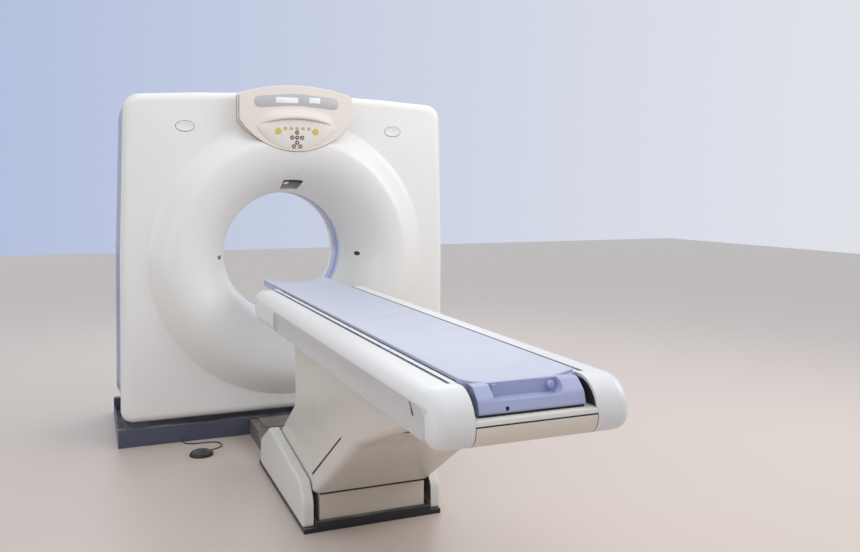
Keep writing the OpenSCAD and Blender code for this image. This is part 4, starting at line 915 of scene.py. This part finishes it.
# Cream lip and greige end panel, two mouldings held between the round caps at the foot of the
# table, with the dark joint between them.
lip_cream = moulded("lip_cream", "e4dfd5", rough=0.4, cloud=0.05, grain=600, dust=0.18, rub=0.3)
end_greige = moulded("end_greige", "ddd4c8", rough=0.36, bump=0.05, dust=0.12, rub=0.3)
dressed(lip_cream, "cream_plastic", "foot_lip", edge=1.5)
dressed(end_greige, "white_plastic", "foot_panel", edge=0.8)
seam_line = open_band(table_corners, -0.15, 2,
                      lambda y, z: JOINT_Z - 4.8 < z < JOINT_Z + 0.2 and y < -3000, 1)
fitted("foot_seam", moved(slab(seam_line, -179, 179), beside(1)), black_and_shade, "table")

# Cradle: a long carbon sandwich dish painted lavender, round at the tip, that runs out on its
# ledges; the thin vinyl mat on it has a cross joint about halfway along.
TIP_Y, END_Y = -394, -3039
CRADLE, CRADLE_TOP, DISH, RUN_HEAD = 175, 847, 173, -900
lavender = moulded(
    "lavender_paint", "a6abcd", rough=0.34, cloud=0.05, bump=0.05, dust=0.08, rub=0.3,
    bare="d5d9ec", coat=0.15)
mat_vinyl = moulded("mat_vinyl", "bec2d1", rough=0.46, cloud=0.04, grain=1300, bump=0.22, dust=0.05)


def dish(x, depth=24):
    return depth * (1 - (x / DISH) ** 2)


def tongue(stations, section):
    """Rings across the table, from its places along it and what the section takes there."""
    return [[(x, y, z) for x, z in section(*size)] for y, *size in stations]


def nose(y, half_w, radius):
    """Stations of a rounded tip: place along the table and half width."""
    return [(y + radius * math.sin(a), half_w - radius * (1 - math.cos(a))) for a in quarter(10)]


def pan_section(half_w):
    k = half_w / CRADLE
    top = [(x * k, CRADLE_TOP - dish(x)) for x in (DISH - 2 * DISH * i / 32 for i in range(33))]
    edge = [(x * k, CRADLE_TOP - h)
            for x, h in ((CRADLE, 0.8), (CRADLE, 18), (172, 26), (162, 32), (149, 34))]
    return top + [(-x, z) for x, z in edge] + edge[::-1]


pan = tongue([(END_Y, CRADLE), (END_Y * 0.6 + TIP_Y * 0.4, CRADLE)]
             + nose(TIP_Y - 36, CRADLE, 36), pan_section)
fitted("cradle_pan", pan, lavender, "cradle_body", "cradle", slot="lavender")
for side, s in SIDES:
    fitted("cradle_runner_" + side, box(s * 162, s * 171, END_Y + 40, RUN_HEAD, 800.3,
                                        833), lavender, "cradle_body")
    # Thin black strips down the cradle's sides: painted shade in the gap beside the cover strips.
    fitted("cradle_shadow_" + side, box(s * (CRADLE - 0.4), s * (CRADLE + 0.4), END_Y + 30,
                                        RUN_HEAD, 816, 845), black_and_shade, "cradle_body")
MAT, MAT_T, MAT_SPAN, JOINT_Y = 174, 7, 172, -1820


def mat_section(half_w, share):
    k, t, low = half_w / MAT, MAT_T * share, CRADLE_TOP + 0.3
    xs = [MAT_SPAN - 2 * MAT_SPAN * i / 40 for i in range(41)]
    edge = [(-173.4 * k, low + 0.2 + t * 0.78), (-MAT * k, low + 0.2 + t * 0.4)]
    return ([(x * k, low + t - dish(x)) for x in xs] + edge
            + [(-x * k, low - dish(x)) for x in xs] + [(-x, z) for x, z in edge[::-1]])


mat_stations = [(y, MAT, 1) for y in range(END_Y + 12, TIP_Y - 44, 26)]
mat_stations += [(JOINT_Y + d, MAT, share) for d, share in ((-8, 1), (-3.6, 0.9), (-2.4, 0.45),
                                                            (2.4, 0.45), (3.6, 0.9), (8, 1))]
mat_stations += [(y, half_w, 1) for y, half_w in nose(TIP_Y - 44, MAT, 30)]
mat_stations.sort()
mat_stations[0] = (END_Y + 12, MAT - 2, 0.6)
mat_stations.insert(1, (END_Y + 14, MAT, 0.95))
mat_stations[-1] = (*mat_stations[-1][:2], 0.8)
mat = fitted("mat", tongue(mat_stations, mat_section), mat_vinyl, "cradle_body", "cradle_mat",
             slot="lavender")

# Handle block at the foot of the cradle, a lavender moulding with a wide grip pocket, the release
# knob inside it and a dark round hole low on its face.
# Black used only for painted shade: under the handle block, in its round hole, in the pedestal's
# slits and in the gap under the pedestal's foot.
shade_black = moulded("shade_black", "15161c", rough=0.6, cloud=0.07, grain=520, bump=0.02)
HANDLE, HANDLE_EDGE = 158, 1.9
KNOB_X, KNOB_Z, HOLE_X, HOLE_Z = 77, 826, -76, 786
handle_corners = [(END_Y - 76, 773.5, 8, 6), (END_Y, 773.5, 2, 2), (END_Y, CRADLE_TOP - 4, 2, 2),
                  (END_Y - 32, CRADLE_TOP - 6, 16, 6), (END_Y - 65, CRADLE_TOP - 36, 30, 8)]


def both_ends(half):
    """Rings of one half of a piece, outward from its middle, and of its mirror image."""
    return [[(-x, y, z) for x, y, z in ring] for ring in half[::-1]] + half


def along(outline, *places):
    """An outline seen from the foot of the table, carried along it."""
    return [[(x, y, z) for x, z in outline] for y in places]


insets = [HANDLE_EDGE * (1 - math.sin(a)) for a in quarter()]
rings = both_ends([[(HANDLE - d, *p) for p in rounded(handle_corners, d)]
                   for d in insets[::-1]])
block = fitted("handle", rings, lavender, "cradle_body", "handle_block", slot="lavender")
# A black plate under the handle block: painted shade in the gap above the lip.
fitted("handle_shadow", box(-155, 155, END_Y - 71, END_Y - 1, 770.2, 774), shade_black,
       "cradle_body")
pocket_face = rounded([(-110, 806, 6, 4), (100, 806, 24, 10), (100, 880, 4, 2), (-110, 880, 4, 2)])
carved(block, loft(along(pocket_face, END_Y - 130, END_Y - 14)),
       loft(along(circle(KNOB_X, KNOB_Z, 4.05, 24), END_Y - 20, END_Y - 4)),
       loft(along(circle(HOLE_X, HOLE_Z, 6, 32), END_Y - 120, END_Y - 60)))
# A black plug at the bottom of the round hole: painted shade of its depth.
fitted("handle_hole", along(circle(HOLE_X, HOLE_Z, 5.9, 32), END_Y - 60.5, END_Y - 68),
       shade_black, "cradle_body")
fitted("handle_tab", box(-97, -83, END_Y - 22, END_Y - 14.2, 806.5, 838), lavender, "cradle_body")
knob_profile = [(0.02, 0), (7, 0), (9.2, 0.6), (10, 2), (10, 11), (9.2, 13), (4, 13.6), (4, 28)]
rings = [[(x, END_Y - 34 + h, z) for x, z in circle(KNOB_X, KNOB_Z, r)] for r, h in knob_profile]
fitted("knob_cap", rings, lavender, "knob", "release_knob", slot="lavender")

# Pedestal, the greige telescoping cover of the lift, with the slanting foot, the waist towards
# the gantry and a dark diagonal slit low on each side; it is hollow, open above and below, and
# cut back clear of the table's chassis and its ledges.
pedestal_greige = moulded(
    "pedestal_greige", "d2ccc3", rough=0.36, grain=450, dust=0.1, rub=0.25, bare="ece8e1", coat=0.1)
PEDESTAL, PED_R, PED_WALL, PED_TOP, PED_LOW = 245, 30, 6, 722, 152
CHASSIS_X, CHASSIS_Z, RAIL_X, RAIL_Z = 231, 678, (166, 210), 622
knee, FOOT_Y = (-2340, 485), -1812
below = FOOT_Y + (PED_LOW - 100) * (FOOT_Y - knee[0]) / (knee[1] - PED_LOW)
pedestal_corners = [(below, 100, 44, 4), (-1090, 100, 44, 4), (-1090, 190, 60, 6),
                    (-1450, 430, 60, 8), (-1450, 640, 70, 8), (-1330, 720, 60, 8),
                    (-1330, 800, 44, 4), (-2980, 800, 44, 4), (-2790, 662, 60, 6),
                    (*knee, 200, 10)]


def pedestal_shell(wall):
    r = PED_R - wall
    rise = [(PEDESTAL - PED_R + r * math.sin(a), wall + r * (1 - math.cos(a))) for a in quarter()]
    return both_ends([[(x, *p) for p in rounded(pedestal_corners, d)] for x, d in rise])


pedestal = fitted("pedestal_shell", pedestal_shell(0), pedestal_greige, "pedestal",
                  "pedestal_cover", slot="greige_plastic")
slit = [(-1766, 209), (-1760, 218), (-2168, 475), (-2172, 468)]
carved(pedestal, loft(pedestal_shell(PED_WALL)),
       loft(box(-300, 300, -3100, -900, PED_TOP, 900)),
       loft(box(-300, 300, -3100, -900, 60, PED_LOW)),
       loft(box(-CHASSIS_X, CHASSIS_X, -3110, -890, CHASSIS_Z, 910)),
       *[loft(box(*[s * x for x in RAIL_X], -3120, -880, RAIL_Z, 920)) for _, s in SIDES],
       *[prism(slit, PEDESTAL - 3, PEDESTAL + 9, beside(s)) for _, s in SIDES])
# Black plates at the bottom of the slits: painted shade of their depth.
for side, s in SIDES:
    fitted("slit_floor_" + side, moved(slab(slit, PEDESTAL - 3.4, PEDESTAL - 2), beside(s)),
           shade_black, "pedestal")

# Base of the table: two light wings and a front panel over a dark steel plate, and the floor duct
# that carries the cables to the gantry.
wing_grey = moulded("wing_grey", "d2d0cb", rough=0.4, grain=450, dust=0.15, rub=0.3, bare="e8e6e2")
duct_grey = moulded(
    "duct_grey", "6c655f", rough=0.5, cloud=0.16, grain=300, bump=0.12, rub=0.5, bare="a7a29c",
    dust=0.4)
# Greige of the front panel, painted darker and warmer than the wings for the shade it lies in under
# the pedestal's foot.
panel_greige_shaded = moulded(
    "panel_greige_shaded", "c3b8ab", rough=0.42, grain=450, dust=0.1, rub=0.3, bare="e8e6e2")
wing_corners = [(-1806, 20.3, 14, 6), (-950, 20.3, 14, 6), (-948, 140, 50, 8),
                (-1150, 246, 90, 8), (-1745, 186, 60, 8), (-1806, 120, 60, 8)]
WING_IN, WING_OUT = 250, 294
wing = stack(rim(wing_corners, WING_IN, WING_OUT, 13, 5))
for side, s in SIDES:
    fitted("wing_" + side, moved(wing, beside(s)), wing_grey, "base", "base_wings",
           slot="greige_plastic")
# A black strip along the top of the front panel: painted shade in the gap under the pedestal's
# foot.
fitted("panel_lip", box(-222, 222, -1797.4, -1795.6, 139.6, 147.4), shade_black, "base")
dressed(panel_greige_shaded, "greige_plastic", "base_front_panel", edge=3.0)
dressed(duct_grey, "duct_paint", "floor_duct", edge=3.0)
